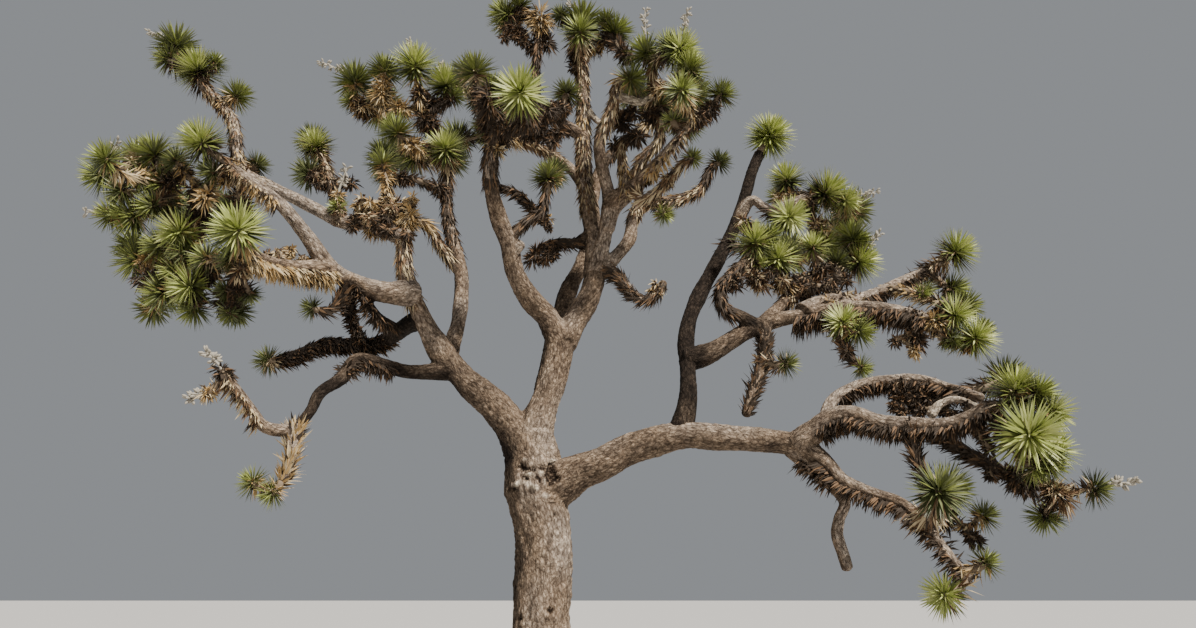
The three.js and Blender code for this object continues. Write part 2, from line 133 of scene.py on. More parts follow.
# Each limb: its radius at its parent and at its end, in millimetres, and its stations.
LIMBS = {
    "left_bough": ((156, 112), ((-145, 0, 2520), (-405, 30, 2895), (-690, 40, 3140), (-950, 40, 3420))),
    "left_shoulder": ((98, 62), ((-915, 40, 3370), (-1070, -20, 3605), (-1200, -120, 3850),
        (-1310, -220, 4080), (-1365, -260, 4350), (-1390, -250, 4600))),
    "left_upright": ((84, 42), ((-930, 50, 3350), (-850, 240, 3620), (-810, 460, 3900), (-825, 640, 4200),
        (-905, 760, 4500), (-985, 820, 4800), (-1010, 840, 5200))),
    "left_arm": ((106, 50), ((-1270, -190, 4010), (-1500, -380, 4010), (-1750, -520, 4080),
        (-2030, -700, 4240), (-2300, -880, 4580), (-2600, -1040, 4920), (-2950, -1180, 5180),
        (-3180, -1240, 5360))),
    "left_arm_lower": ((82, 58), ((-2030, -700, 4230), (-2350, -900, 4260), (-2600, -1100, 4300),
        (-2820, -1300, 4400))),
    "left_reach": ((70, 48), ((-1380, -240, 4560), (-1700, -150, 4690), (-2000, -20, 4730),
        (-2250, 60, 4860), (-2600, 160, 5040), (-2960, 260, 5240), (-3080, 360, 5500), (-3160, 440, 5800),
        (-3340, 500, 6040), (-3500, 540, 6190))),
    "lower_left": ((70, 50), ((-900, 40, 3270), (-1250, -80, 3260), (-1500, -220, 3330),
        (-1720, -350, 3380), (-1840, -480, 3200), (-2030, -640, 3060), (-2090, -720, 2900),
        (-2220, -820, 2745))),
    "hook_riser": ((50, 42), ((-2190, -810, 2750), (-2360, -900, 2735), (-2490, -980, 2770),
        (-2590, -1040, 2890), (-2740, -1120, 3070), (-2880, -1180, 3220))),
    "shaded_bough": ((76, 60), ((-1150, -60, 3760), (-1300, 160, 3690), (-1450, 400, 3570),
        (-1620, 600, 3500), (-1820, 780, 3510), (-2020, 940, 3510), (-2220, 1070, 3420),
        (-2420, 1150, 3350))),
    "centre_bough": ((155, 120), ((-140, 0, 2580), (-75, 20, 2850), (12, 50, 3130), (84, 80, 3400),
        (116, 100, 3620))),
    "centre_left": ((112, 66), ((108, 90, 3540), (-8, 20, 3755), (-180, -120, 3950), (-320, -300, 4200),
        (-385, -480, 4480), (-490, -640, 4750), (-565, -800, 5020), (-600, -940, 5320),
        (-590, -1000, 5560))),
    "centre_right": ((116, 98), ((120, 90, 3540), (252, 160, 3760), (378, 240, 3990), (440, 310, 4260))),
    "centre_column": ((80, 60), ((418, 290, 4180), (400, 340, 4500), (358, 380, 4800), (322, 400, 5150),
        (300, 400, 5550), (300, 380, 5950), (285, 350, 6350), (275, 320, 6560))),
    "centre_inner": ((74, 50), ((420, 290, 4200), (520, 220, 4650), (545, 120, 5000), (490, -20, 5280),
        (460, -120, 5560), (540, -200, 5820), (620, -260, 6080), (650, -280, 6260))),
    "centre_outer": ((66, 40), ((430, 290, 4180), (600, 330, 4350), (740, 420, 4540), (775, 600, 4740),
        (870, 760, 4920), (1060, 880, 4935), (1250, 960, 4965), (1430, 1020, 5070), (1540, 1040, 5290))),
    "centre_lean": ((66, 48), ((540, 130, 4930), (720, -20, 5050), (930, -240, 5250), (1120, -420, 5460),
        (1300, -560, 5700))),
    "right_bough": ((164, 100), ((5, 0, 2205), (260, -60, 2362), (500, -120, 2450), (750, -190, 2570),
        (1000, -260, 2650), (1250, -330, 2690), (1500, -410, 2670), (1750, -490, 2655), (2000, -570, 2630),
        (2220, -640, 2610))),
    "right_upright": ((86, 52), ((1172, -300, 2700), (1238, -260, 2980), (1250, -160, 3250),
        (1246, 0, 3550), (1292, 140, 3780), (1398, 280, 4020), (1532, 420, 4260), (1656, 540, 4500),
        (1776, 640, 4760), (1860, 720, 5010), (1940, 780, 5260), (2022, 825, 5450))),
    "right_shelf": ((90, 46), ((1236, -90, 3370), (1420, -130, 3420), (1620, -120, 3530),
        (1820, -80, 3650), (2050, -60, 3740), (2300, -100, 3790), (2550, -180, 3840), (2750, -260, 3870),
        (3000, -360, 3870), (3250, -440, 3830), (3450, -500, 3770))),
    "right_shelf_riser": ((66, 50), ((1960, -60, 3700), (2120, 140, 3880), (2290, 360, 4040),
        (2440, 580, 4180))),
    "right_upper_tip": ((50, 40), ((2640, -220, 3850), (2850, -80, 3960), (3050, 60, 4030),
        (3250, 180, 4120), (3480, 300, 4230))),
    "hanging_branch": ((58, 44), ((1950, -70, 3680), (1950, -160, 3450), (1870, -240, 3200),
        (1790, -300, 2980), (1750, -330, 2870))),
    "right_fork": ((96, 60), ((2180, -630, 2600), (2350, -720, 2730), (2520, -800, 2850),
        (2690, -880, 2870), (2900, -980, 2800), (3200, -1100, 2780), (3500, -1220, 2780),
        (3740, -1330, 2860), (3900, -1400, 2950))),
    "right_arch": ((56, 42), ((2440, -750, 2800), (2520, -640, 2990), (2700, -560, 3110),
        (3000, -560, 3180), (3300, -640, 3190), (3600, -820, 3110), (3850, -1060, 3020))),
    "right_fork_tail": ((56, 44), ((3320, -1150, 2770), (3500, -1120, 2640), (3720, -1100, 2500),
        (3930, -1120, 2400))),
    "right_drop": ((62, 50), ((2120, -610, 2580), (2320, -650, 2390), (2470, -690, 2240),
        (2555, -720, 2110), (2500, -710, 1990), (2465, -700, 1850), (2500, -710, 1700), (2530, -720, 1570))),
    "right_sweep": ((72, 42), ((2240, -650, 2590), (2420, -760, 2450), (2550, -880, 2300),
        (2780, -1000, 2190), (3020, -1120, 2110), (3180, -1220, 1970), (3300, -1300, 1810),
        (3430, -1380, 1620), (3540, -1440, 1480))),
    "rear_bough": ((100, 66), ((-20, 50, 3080), (40, 420, 3400), (90, 760, 3720), (180, 1040, 4040),
        (330, 1280, 4360), (400, 1440, 4700), (380, 1540, 5020))),
    "rear_left": ((60, 40), ((385, 1520, 4960), (200, 1620, 5260), (-80, 1660, 5480), (-400, 1680, 5620))),
    "rear_right": ((60, 40), ((385, 1520, 4960), (480, 1620, 5300), (690, 1700, 5560), (900, 1740, 5740))),
}

# Smaller branches that the solids leave out, written in the same way.
BRANCHES = {
    "middle_spur": ((46, 34), ((-400, -500, 4520), (-217, -520, 4740), (-100, -480, 4820),
        (-45, -460, 5020))),
    "middle_stub": ((52, 38), ((-370, -440, 4400), (-320, -470, 4450), (-262, -490, 4500))),
    "crossing_twig": ((46, 34), ((330, 360, 4560), (247, 420, 4510), (58, 480, 4510), (-80, 510, 4470))),
    "dead_loop": ((52, 36), ((430, 300, 4230), (587, 260, 4210), (680, 220, 4110), (770, 180, 3990),
        (879, 150, 3940), (989, 130, 4010), (1060, 120, 4120))),
    "inner_fork": ((52, 40), ((540, 190, 4640), (609, 150, 4850), (773, 100, 5030), (825, 60, 5270),
        (877, 20, 5400), (1024, -20, 5540), (1060, -60, 5850))),
    "bowed_twig": ((42, 34), ((620, -260, 6080), (740, -260, 6060), (860, -210, 6020), (970, -190, 6070),
        (1030, -210, 6170), (970, -300, 6320))),
    "top_left_mast": ((50, 36), ((300, 390, 5640), (80, 280, 5790), (-130, 140, 5960), (-184, 60, 6250),
        (-172, 20, 6530), (-150, 0, 6850))),
    "side_shelf": ((50, 38), ((1780, 640, 4770), (1920, 560, 4950), (2068, 500, 4850), (2233, 480, 4900),
        (2450, 540, 4990))),
    "coiled_twig": ((56, 44), ((1896, -70, 3680), (1745, -160, 3780), (1603, -200, 3860),
        (1572, -160, 4010), (1640, -90, 4150), (1800, 0, 4300))),
    "under_twig": ((44, 34), ((2600, -200, 3830), (2655, -330, 3560), (2713, -420, 3400),
        (2790, -450, 3320))),
    "back_twig": ((46, 36), ((-826, 640, 4200), (-950, 560, 4350), (-1050, 500, 4500), (-1140, 440, 4680))),
    "drooping_twig": ((44, 34), ((-1870, -600, 4130), (-1920, -600, 3960), (-2010, -640, 3830),
        (-2110, -680, 3840))),
    "crossing_limb": ((50, 40), ((-1860, -590, 4130), (-1842, -420, 3910), (-1800, -100, 3750),
        (-1726, 200, 3610), (-1650, 580, 3510))),
    "second_crossing": ((44, 36), ((-1800, -560, 4080), (-1580, -300, 3800), (-1400, 60, 3680))),
    "hanging_stub": ((54, 46), ((-2205, -820, 2780), (-2215, -850, 2600), (-2225, -870, 2430),
        (-2270, -890, 2290))),
    "pale_twist": ((34, 22), ((3374, -1000, 2860), (3474, -960, 2967), (3612, -980, 3012),
        (3757, -1080, 2967), (3887, -1200, 2886))),
    "curtain_twig": ((46, 36), ((3190, -1100, 2770), (3197, -1120, 2560), (3230, -1160, 2390),
        (3330, -1190, 2280))),
    "reach_spur": ((52, 38), ((-2000, -30, 4720), (-2037, 80, 4910), (-2113, 200, 5100),
        (-2200, 330, 5330))),
    "shelf_knot": ((92, 60), ((2330, -90, 3800), (2450, -60, 3880), (2620, -110, 3925), (2781, -170, 3880))),
    "dark_twig": ((34, 26), ((-500, -760, 5080), (-311, -600, 5015), (-203, -500, 4899),
        (-124, -420, 4784))),
    "white_fork": ((30, 24), ((358, 380, 5923), (437, 300, 5810), (516, 220, 5765), (595, 120, 5810),
        (675, 40, 5911))),
    "inner_spur": ((46, 36), ((720, -20, 5050), (700, 60, 5240), (672, 100, 5440), (690, 80, 5620))),
    "arm_twig": ((44, 34), ((800, -80, 5080), (848, -120, 4960), (994, -200, 5026), (1122, -240, 5164),
        (1243, -260, 5314), (1343, -280, 5385))),
}

# Stretches of limb that still carry dead leaves: from and to, as shares of the length, leaves per metre,
# the longest one's length in millimetres, whether they hang only from the underside, and how dark they are,
# from 0 to 2, for old leaves and as painted shade where the stretch lies in the crown's shadow.
SHAGGY = {
    "left_shoulder": (0.5, 1.0, 520, 140, False, 1), "left_upright": (0.6, 1.0, 560, 140, False, 2),
    "left_arm": (0.74, 1.0, 420, 120, True, 1), "left_arm_lower": (0.05, 1.0, 760, 140, True, 0),
    "left_reach": (0.5, 1.0, 480, 140, False, 1), "hook_riser": (0.4, 1.0, 460, 120, True, 1),
    "shaded_bough": (0.3, 1.0, 620, 140, False, 2), "hanging_stub": (0.05, 1.0, 620, 140, False, 0),
    "crossing_limb": (0.1, 1.0, 320, 140, False, 2), "second_crossing": (0.0, 1.0, 380, 120, True, 2),
    "drooping_twig": (0.1, 1.0, 520, 140, False, 2), "back_twig": (0.3, 1.0, 560, 140, False, 1),
    "centre_left": (0.84, 1.0, 560, 140, False, 2), "centre_column": (0.3, 1.0, 560, 140, False, 1),
    "centre_inner": (0.72, 1.0, 560, 140, False, 1), "centre_outer": (0.42, 1.0, 620, 140, False, 1),
    "centre_lean": (0.5, 1.0, 240, 120, True, 1), "middle_spur": (0.3, 1.0, 560, 140, False, 2),
    "crossing_twig": (0.1, 1.0, 560, 140, False, 2), "dead_loop": (0.05, 1.0, 700, 140, False, 2),
    "inner_fork": (0.45, 1.0, 560, 140, False, 1), "bowed_twig": (0.5, 1.0, 320, 140, False, 1),
    "top_left_mast": (0.15, 1.0, 560, 140, False, 2), "side_shelf": (0.55, 1.0, 420, 120, True, 1),
    "coiled_twig": (0.3, 1.0, 560, 140, False, 2), "under_twig": (0.1, 1.0, 560, 140, False, 2),
    "right_shelf": (0.5, 1.0, 860, 200, True, 2), "right_upper_tip": (0.25, 1.0, 560, 120, True, 2),
    "hanging_branch": (0.1, 1.0, 560, 130, False, 2), "right_fork": (0.15, 1.0, 760, 120, True, 2),
    "right_arch": (0.2, 0.97, 900, 120, True, 2), "right_fork_tail": (0.15, 1.0, 560, 140, False, 2),
    "right_drop": (0.12, 0.42, 300, 120, True, 2), "right_sweep": (0.15, 1.0, 560, 120, True, 2),
    "curtain_twig": (0.0, 1.0, 620, 140, False, 2), "rear_left": (0.5, 1.0, 520, 140, False, 1),
    "rear_right": (0.5, 1.0, 520, 140, False, 2), "right_shelf_riser": (0.4, 1.0, 560, 140, False, 1),
    "arm_twig": (0.1, 1.0, 620, 140, False, 1), "inner_spur": (0.0, 1.0, 620, 140, False, 1),
    "reach_spur": (0.15, 1.0, 620, 140, False, 1), "dark_twig": (0.1, 1.0, 560, 120, False, 2),
    "lower_left": (0.3, 0.62, 560, 110, True, 2),
}

# How weathered some limbs are, or how their two ends are: below nought is dark, mostly painted shade for
# limbs that lie in the crown's shadow, above is bleached.
WEATHER_AND_SHADE = {
    "trunk": 0.25, "left_bough": (-0.45, -0.4), "lower_left": (-0.9, -1.5), "shaded_bough": -1.4,
    "crossing_limb": -1.3, "second_crossing": -1.2, "drooping_twig": -1.2, "hook_riser": 0.2,
    "hanging_stub": 0.7, "reach_spur": -0.4, "dark_twig": -1.3, "shelf_knot": 0.8, "left_arm": (0.5, 0.8),
    "left_reach": (0.9, 0.6), "left_shoulder": (0.2, 0.4), "left_upright": (0.0, 0.2),
    "centre_bough": 0.25, "centre_left": (-0.1, 0.4), "centre_right": (0.0, -0.2), "centre_column": 0.2,
    "centre_inner": 0.6, "centre_outer": (0.6, -0.6), "centre_lean": (-0.6, 1.3), "inner_fork": 0.5,
    "arm_twig": 0.7, "bowed_twig": 1.3, "white_fork": 1.3, "middle_stub": 0.7, "middle_spur": -0.6,
    "crossing_twig": -0.5, "coiled_twig": -0.9, "right_upright": (-1.5, -1.9), "side_shelf": 0.8,
    "right_bough": (0.0, 0.1), "right_shelf": (-1.0, 0.9), "right_shelf_riser": -0.3,
    "right_upper_tip": 0.7, "hanging_branch": (-0.5, -0.2), "right_fork": 0.35, "right_arch": 0.5,
    "right_drop": 0.5, "right_sweep": 0.2, "right_fork_tail": -0.5, "curtain_twig": -0.4,
    "pale_twist": 1.3, "rear_bough": -0.4, "rear_left": -0.2, "rear_right": -0.2,
}

# Leaf heads: (across, away, up, radius). A head is bright where it stands in the light: its young
# yellow-green leaves get pale tints, partly as painted light. It is bald where it is bright and has no skirt
# of dead leaves, plain, shaded where its leaves are painted dark as shade, dead where every leaf is dry, and
# dark where those are old and painted darker still as shade.
HEADS = {
    "bright": (
        (2459, 420, 4487, 175), (2915, 520, 4537, 145), (-3597, 560, 6420, 270), (-3460, -1290, 5600, 280),
        (-3529, -1060, 4610, 250), (-2970, -1480, 4660, 300), (-3352, -1080, 4060, 250),
        (-1049, 700, 5520, 230), (-1407, 700, 6470, 280), (-1091, 880, 6250, 250),
        (-335, -1560, 6150, 290), (1302, -760, 6640, 235), (2260, 720, 5190, 210), (2656, 600, 5040, 270),
        (2912, 500, 4330, 230), (2840, 580, 4952, 180), (2131, 80, 4370, 215), (2686, -420, 3740, 190),
        (3824, 360, 4440, 240), (3735, -560, 3800, 210), (4170, -1450, 3110, 285),
        (4240, -1680, 2690, 330), (3290, -1500, 1360, 200), (-2325, 360, 5560, 210),
        (4479, -1560, 2895, 210), (4435, -1620, 2578, 210), (4135, -1500, 2895, 165),
        (1380, -780, 6512, 170), (1941, 60, 4315, 135), (1925, 40, 4540, 240), (2599, 700, 4480, 230),
        (2272, 180, 4780, 205), (3895, -620, 3590, 220),
    ),
    "bald": (
        (2148, 840, 5670, 250),
    ),
    "plain": (
        (1162, -700, 6710, 180), (-3916, 580, 6536, 170), (-3423, 560, 6488, 145), (2070, 100, 4588, 155),
        (2453, 640, 4899, 140), (4231, -1600, 2387, 160), (1297, -700, 6139, 155), (1025, -450, 6512, 150),
        (530, 260, 6992, 150), (-363, 60, 7177, 150), (-2025, 900, 6048, 125), (-979, 860, 6100, 135),
        (-2045, -100, 4889, 100), (-3854, 600, 6700, 245), (-3149, 520, 6110, 190),
        (-4370, -960, 5210, 240), (-3894, -1020, 5460, 230), (-3759, -900, 5110, 240),
        (-4011, -960, 4780, 250), (-3889, -780, 4340, 220), (-3581, -900, 3990, 220),
        (-3275, -980, 3843, 190), (-3829, -980, 4878, 210), (-3698, -900, 4476, 195),
        (-4217, -1010, 4805, 170), (-3972, -1020, 5164, 180), (-3229, -1180, 4355, 175),
        (-3516, -1000, 4215, 175), (-1703, 820, 6394, 200), (-1995, 900, 6280, 230),
        (-1551, 560, 5700, 220), (-1700, 1380, 5980, 240), (-1360, 1060, 5440, 220),
        (-1600, 380, 4770, 200), (-3000, 760, 4800, 230), (-3420, 860, 4800, 240),
        (-3500, 1060, 4420, 230), (-3280, 1340, 4900, 230), (-2540, -910, 2290, 150),
        (-2360, -900, 2190, 150), (-46, -450, 5210, 190), (-797, -980, 6400, 225), (-528, 40, 7080, 220),
        (640, 220, 6860, 220), (926, -460, 6620, 230), (800, -330, 6300, 210), (1376, -840, 6420, 230),
        (1360, -640, 6150, 225), (1690, -600, 6130, 180), (1372, -280, 5410, 120), (137, 120, 6139, 165),
        (282, 320, 6980, 260), (1179, -500, 5821, 125), (1085, 860, 4805, 130), (-600, 1720, 5760, 240),
        (-250, 1980, 5900, 240), (-960, 1840, 5600, 230), (-620, 1480, 6180, 210), (1080, 1780, 5960, 240),
        (800, 2060, 6120, 230), (1420, 1700, 6120, 230), (1330, 1960, 5800, 220), (2841, 520, 4570, 220),
        (2840, -440, 3640, 190), (2824, -460, 3290, 130), (2880, 960, 4860, 210), (2240, 1240, 4400, 230),
        (2640, 1400, 4560, 240), (3740, 280, 4050, 190), (3466, 220, 4018, 125), (3683, -560, 3557, 135),
        (4370, -1560, 3080, 220), (4360, -1600, 2440, 200), (3455, -120, 4008, 95), (3608, -520, 3538, 95),
        (3972, -540, 3680, 95), (3474, -1200, 2230, 260), (3700, -1440, 1630, 150),
        (4240, -1040, 1980, 170), (3737, -1130, 2008, 150),
    ),
    "shaded": (
        (-2854, 330, 5330, 150), (-3290, -1180, 5260, 200), (-2985, -1260, 4360, 190),
        (-3420, -980, 4400, 230), (-4150, -1000, 5040, 190), (-3350, -700, 4700, 220),
        (-3640, -700, 4900, 220), (-3658, -1080, 5379, 170), (-2850, -860, 3814, 160),
        (-2358, 320, 5240, 190), (-1660, 460, 5460, 180), (-1632, 460, 5217, 140),
        (-2530, 1170, 3370, 145), (-2190, -700, 3870, 130), (1050, -40, 6010, 180),
        (1633, 1040, 5370, 142), (2154, -320, 3340, 150), (4730, -1200, 2230, 175), (2688, 500, 4315, 155),
        (2249, 150, 4436, 135), (54, 300, 7054, 140), (-2761, -1050, 3979, 125), (-2999, -1050, 4038, 130),
        (-2943, -980, 3804, 120),
    ),
    "dead": (
        (-4080, -1050, 5347, 110), (-3309, -1150, 4983, 150), (-3145, -1130, 5185, 130),
        (-2886, -1250, 4235, 155), (-1705, 820, 6170, 190), (-1372, 640, 5532, 155),
        (-1540, 800, 5957, 145), (-1480, -200, 4900, 160), (-1740, -240, 4830, 150),
        (-1340, -260, 4790, 160), (-1560, 0, 4740, 215), (-3020, -1180, 3070, 110),
        (-539, -980, 5488, 120), (-150, 0, 7020, 200), (447, 300, 6726, 140), (1019, -60, 6220, 145),
        (1123, -260, 5185, 110), (2335, 700, 4983, 140), (1842, 60, 4722, 130), (2136, 200, 4156, 175),
        (1948, 100, 4106, 145), (2320, 300, 4136, 135), (2548, 640, 4660, 130), (3307, -480, 3444, 85),
        (3560, -500, 3720, 170), (4400, -1180, 2170, 190), (3811, -520, 3500, 105),
        (-3318, -1100, 5047, 100), (1008, -120, 5228, 80), (-28, -380, 4764, 80), (-254, 40, 6992, 85),
    ),
    "dark": (
        (-2950, -860, 3950, 205), (-3188, -1000, 4195, 175), (-3750, -880, 4166, 165),
        (-1208, 860, 6048, 175), (-1263, 820, 5821, 165), (-1180, 840, 5800, 120), (-1093, 650, 5100, 130),
        (-1880, 1000, 5960, 170), (-2920, -1190, 3270, 130), (-150, 520, 4370, 140),
        (-580, -960, 5890, 240), (-170, -760, 5850, 210), (-640, -1250, 6080, 220),
        (-500, -900, 5660, 190), (-740, -960, 6139, 150), (-700, -940, 5911, 140), (-79, -900, 5911, 165),
        (-123, -800, 5654, 145), (-226, -1200, 5844, 155), (-372, -1100, 5765, 155), (73, 480, 5709, 125),
        (-94, 60, 6726, 160), (752, 0, 6571, 150), (963, -60, 5911, 155), (1560, -560, 5950, 150),
        (1715, -60, 4087, 115), (2690, -440, 3450, 110), (3340, -470, 3560, 150), (1958, -160, 3510, 95),
        (4000, -1440, 2740, 180), (3400, -1120, 1980, 150), (4120, -1130, 2290, 200),
        (3624, -1200, 1802, 105), (2533, 450, 4235, 135), (2738, 300, 4136, 115), (3123, -620, 3003, 130),
        (3346, -660, 3012, 155), (3542, -760, 3021, 110), (1456, -600, 5844, 135), (-1331, 780, 6105, 135),
        (3585, -460, 3862, 105), (3353, -480, 3680, 105), (3269, -440, 3824, 95), (3128, -440, 3538, 85),
        (-523, -1150, 5824, 125), (-375, -1150, 5840, 135), (-2317, 250, 5207, 100),
        (-2240, 200, 5121, 90), (700, 60, 5790, 150), (830, 0, 5640, 140), (800, 0, 5900, 130),
        (864, 60, 5325, 80), (929, -60, 5153, 80), (-1944, 300, 5142, 120), (-1446, 500, 5185, 120),
        (-1559, -330, 4774, 130), (615, 120, 5560, 110),
    ),
}

# Rows of tufts of dead leaves: kind, where a row starts and ends, how far its tufts stray, how many there
# are and their mean radius.
TUFT_ROWS = (
    ("dark", (-3460, -1100, 5150), (-3300, -1000, 4720), 30, 3, 118),
    ("dark", (-2960, -1150, 4215), (-2840, -950, 3890), 25, 3, 112),
    ("dead", (-2120, -720, 4330), (-2690, -1100, 4400), 60, 16, 92),
    ("dead", (-1940, -340, 4880), (-1260, -220, 4985), 65, 13, 100),
    ("dark", (-1960, -300, 4760), (-1310, -330, 4640), 50, 8, 102),
    ("dead", (-2050, -60, 5060), (-2000, -120, 4800), 10, 3, 93),
    ("dark", (-680, -950, 5700), (40, -700, 5680), 60, 9, 118),
    ("dark", (-60, 500, 4420), (90, 480, 4430), 40, 3, 100),
    ("dark", (710, 160, 4060), (810, 140, 3970), 5, 2, 75),
    ("dead", (940, 130, 4030), (1015, 120, 4090), 10, 2, 95),
    ("dark", (3790, -1150, 2405), (4370, -1200, 2250), 12, 5, 107),
    ("dark", (3780, -1300, 2780), (3870, -1350, 2510), 8, 3, 100),
    ("dark", (3060, -600, 3135), (3490, -700, 3040), 14, 6, 82),
    ("dark", (3060, -610, 3060), (3440, -750, 2985), 25, 7, 84),
    ("dark", (3050, -640, 2975), (3330, -790, 2885), 22, 5, 78),
    ("dark", (3380, -800, 2930), (3690, -1040, 2850), 12, 4, 72),
    ("dark", (3095, -680, 2925), (3160, -760, 2875), 5, 2, 75),
    ("dark", (1675, -60, 4215), (2420, 180, 4150), 30, 5, 100),
    ("dark", (2310, 40, 4050), (2700, -90, 4030), 40, 8, 92),
    ("dead", (1810, -40, 4155), (2290, 120, 4135), 10, 2, 100),
    ("dead", (2510, -130, 3940), (2785, -150, 3955), 10, 3, 95),
    ("dark", (-310, -550, 5010), (10, -380, 4660), 18, 6, 67),
    ("dark", (-530, 40, 6900), (-250, 60, 6690), 40, 7, 98),
    ("dark", (-380, 40, 6930), (-360, 50, 6800), 15, 2, 112),
    ("dark", (200, 330, 6725), (195, 360, 6370), 8, 4, 83),
    ("dark", (-70, -500, 6000), (190, 60, 5930), 35, 5, 92),
)

# Dried flower stalks: where each one starts, in a head, and where it ends.
FLOWER_STALKS = (
    ((-3862, 600, 6714), (-4149, 600, 6847)), ((-1996, 900, 6278), (-2349, 900, 6488)),
    ((-1406, 700, 6477), (-1474, 700, 6726)), ((925, -460, 6619), (934, -460, 7115)),
    ((1303, -760, 6643), (1368, -760, 7091)), ((2904, 500, 4325), (3100, 500, 4599)),
    ((2840, 580, 4952), (3107, 580, 5036)), ((-4367, -960, 5217), (-4256, -960, 5576)),
    ((-4004, -960, 4733), (-4430, -960, 4826)), ((4721, -1200, 2234), (5066, -1200, 2285)),
    ((-2916, -1180, 3231), (-3090, -1180, 3444)), ((-2873, -1180, 3112), (-3172, -1180, 3021)),
    ((292, 320, 6980), (82, 320, 7300)), ((-2003, -100, 5057), (-1986, -100, 5293)),
    ((-1135, 880, 6162), (-1143, 880, 6488)),
)

# A stalk's radii at its foot and tip, its points and how many of them are bare, the pods at each other
# point, and how far out a pod's rings lie and their radii.
STALK_RADII = (0.013, 0.005)
STALK_POINTS = 16
STALK_SIDES = 6
POD_SIDES = 5
BARE_POINTS = 6
PODS_AT_ONCE = 3
POD_RINGS = np.array([0.0, 0.02, 0.035, 0.05, 0.062])
POD_RADII = (0.003, 0.005, 0.012, 0.01, 0.003)

# Which limbs and branches make each piece of bark.
BARK_GROUPS = {
    "bark_trunk_and_boughs": ("left_bough", "left_shoulder", "left_upright", "lower_left", "centre_bough",
        "centre_left", "centre_right", "right_bough"),
    "bark_left": ("left_arm", "left_arm_lower", "left_reach", "hook_riser", "shaded_bough", "back_twig",
        "drooping_twig", "crossing_limb", "second_crossing", "hanging_stub", "reach_spur"),
    "bark_middle": ("centre_column", "centre_inner", "centre_outer", "centre_lean", "rear_bough",
        "rear_left", "rear_right", "middle_spur", "middle_stub", "crossing_twig", "dead_loop",
        "inner_fork", "bowed_twig", "top_left_mast", "arm_twig", "white_fork", "dark_twig", "inner_spur"),
    "bark_right": ("right_upright", "right_shelf", "right_shelf_riser", "right_upper_tip",
        "hanging_branch", "right_fork", "right_arch", "right_fork_tail", "right_drop", "right_sweep",
        "side_shelf", "coiled_twig", "under_twig", "curtain_twig", "pale_twist", "shelf_knot"),
}


def swatch(name, description, default):
    """A setting that is a colour."""
    return FloatVectorProperty(name=name, description=description, default=default, subtype="COLOR")


def measure(name, description, default, kind="LENGTH"):
    """A setting that is a length or an angle."""
    return FloatProperty(name=name, description=description, default=default, unit=kind)


class BarkSettings(PropertyGroup):
    """Sizes and colours of the bark."""

    trunk_voxel: measure("Trunk fineness", "Face size of the trunk's bark", 0.0132)
    limb_voxel: measure("Limb fineness", "Face size of the limbs' bark", 0.0109)
    trunk_radius: measure("Trunk radius", "Radius of the trunk at chest height", 0.232)
    root_flare: measure("Root flare", "How far the foot of the trunk flares", 0.095)
    plate_size: measure("Plate size", "Width of a bark plate", 0.03)
    plate_depth: measure("Plate depth", "Depth of the seams between plates", 0.014)
    # Dark bark: old bark, and painted shade on limbs that lie in the crown's shadow.
    old_and_shaded_colour: swatch("Old bark", "Colour of dark bark", (0.05, 0.04, 0.033))
    plate_colour: swatch("Plates", "Colour of common bark", (0.4, 0.325, 0.255))
    pale_colour: swatch("Pale bark", "Colour of bleached bark", (0.64, 0.58, 0.52))
    bare_colour: swatch("Bare wood", "Wood without bark", (0.9, 0.85, 0.74))
    twig_colour: swatch("Twigs", "Colour of the twigs", (0.2, 0.15, 0.1))


class LeafSettings(PropertyGroup):
    """Numbers, sizes and colours of the leaves."""

    seed: IntProperty(name="Seed", description="Seed of the branching rule and of the leaves", default=7)
    rosette_leaves: IntProperty(name="Leaves", description="Green leaves in a full rosette", default=190)
    skirt_leaves: IntProperty(name="Skirt", description="Dead leaves per metre under a rosette", default=380)
    leaf_width: measure("Width", "Width of a leaf", 0.021)
    second_heads: FloatProperty(
        name="Second heads", description="Share of large heads that bear another one", default=0.8,
        subtype="FACTOR")
    young: swatch("Young", "Yellow-green young leaves", (0.315, 0.362, 0.10))
    # Pale young leaves, used also as painted highlights where the sun catches the blades.
    streak_highlight: swatch("Streak", "Pale young leaves", (0.485, 0.515, 0.21))
    full: swatch("Full", "Grown green leaves", (0.184, 0.207, 0.055))
    # Old dark leaves, used also as painted shade on shaded heads.
    deep: swatch("Deep", "Old dark leaves", (0.072, 0.085, 0.03))
    dusky: swatch("Dusky", "Grey-green leaves", (0.145, 0.16, 0.068))
    golden: swatch("Golden", "Newly dead leaves", (0.42, 0.28, 0.12))
    straw: swatch("Straw", "Bleached dead leaves", (0.5, 0.4, 0.245))
    rust: swatch("Rust", "Rust-brown dead leaves", (0.16, 0.094, 0.049))
    # Old dark dead leaves, made darker as painted shade for the leaves in the crown's shadow.
    umber_and_shade: swatch("Umber", "Old dark dead leaves", (0.042, 0.029, 0.019))
    stalk: swatch("Flower stalk", "Dried flower stalks", (0.35, 0.32, 0.265))


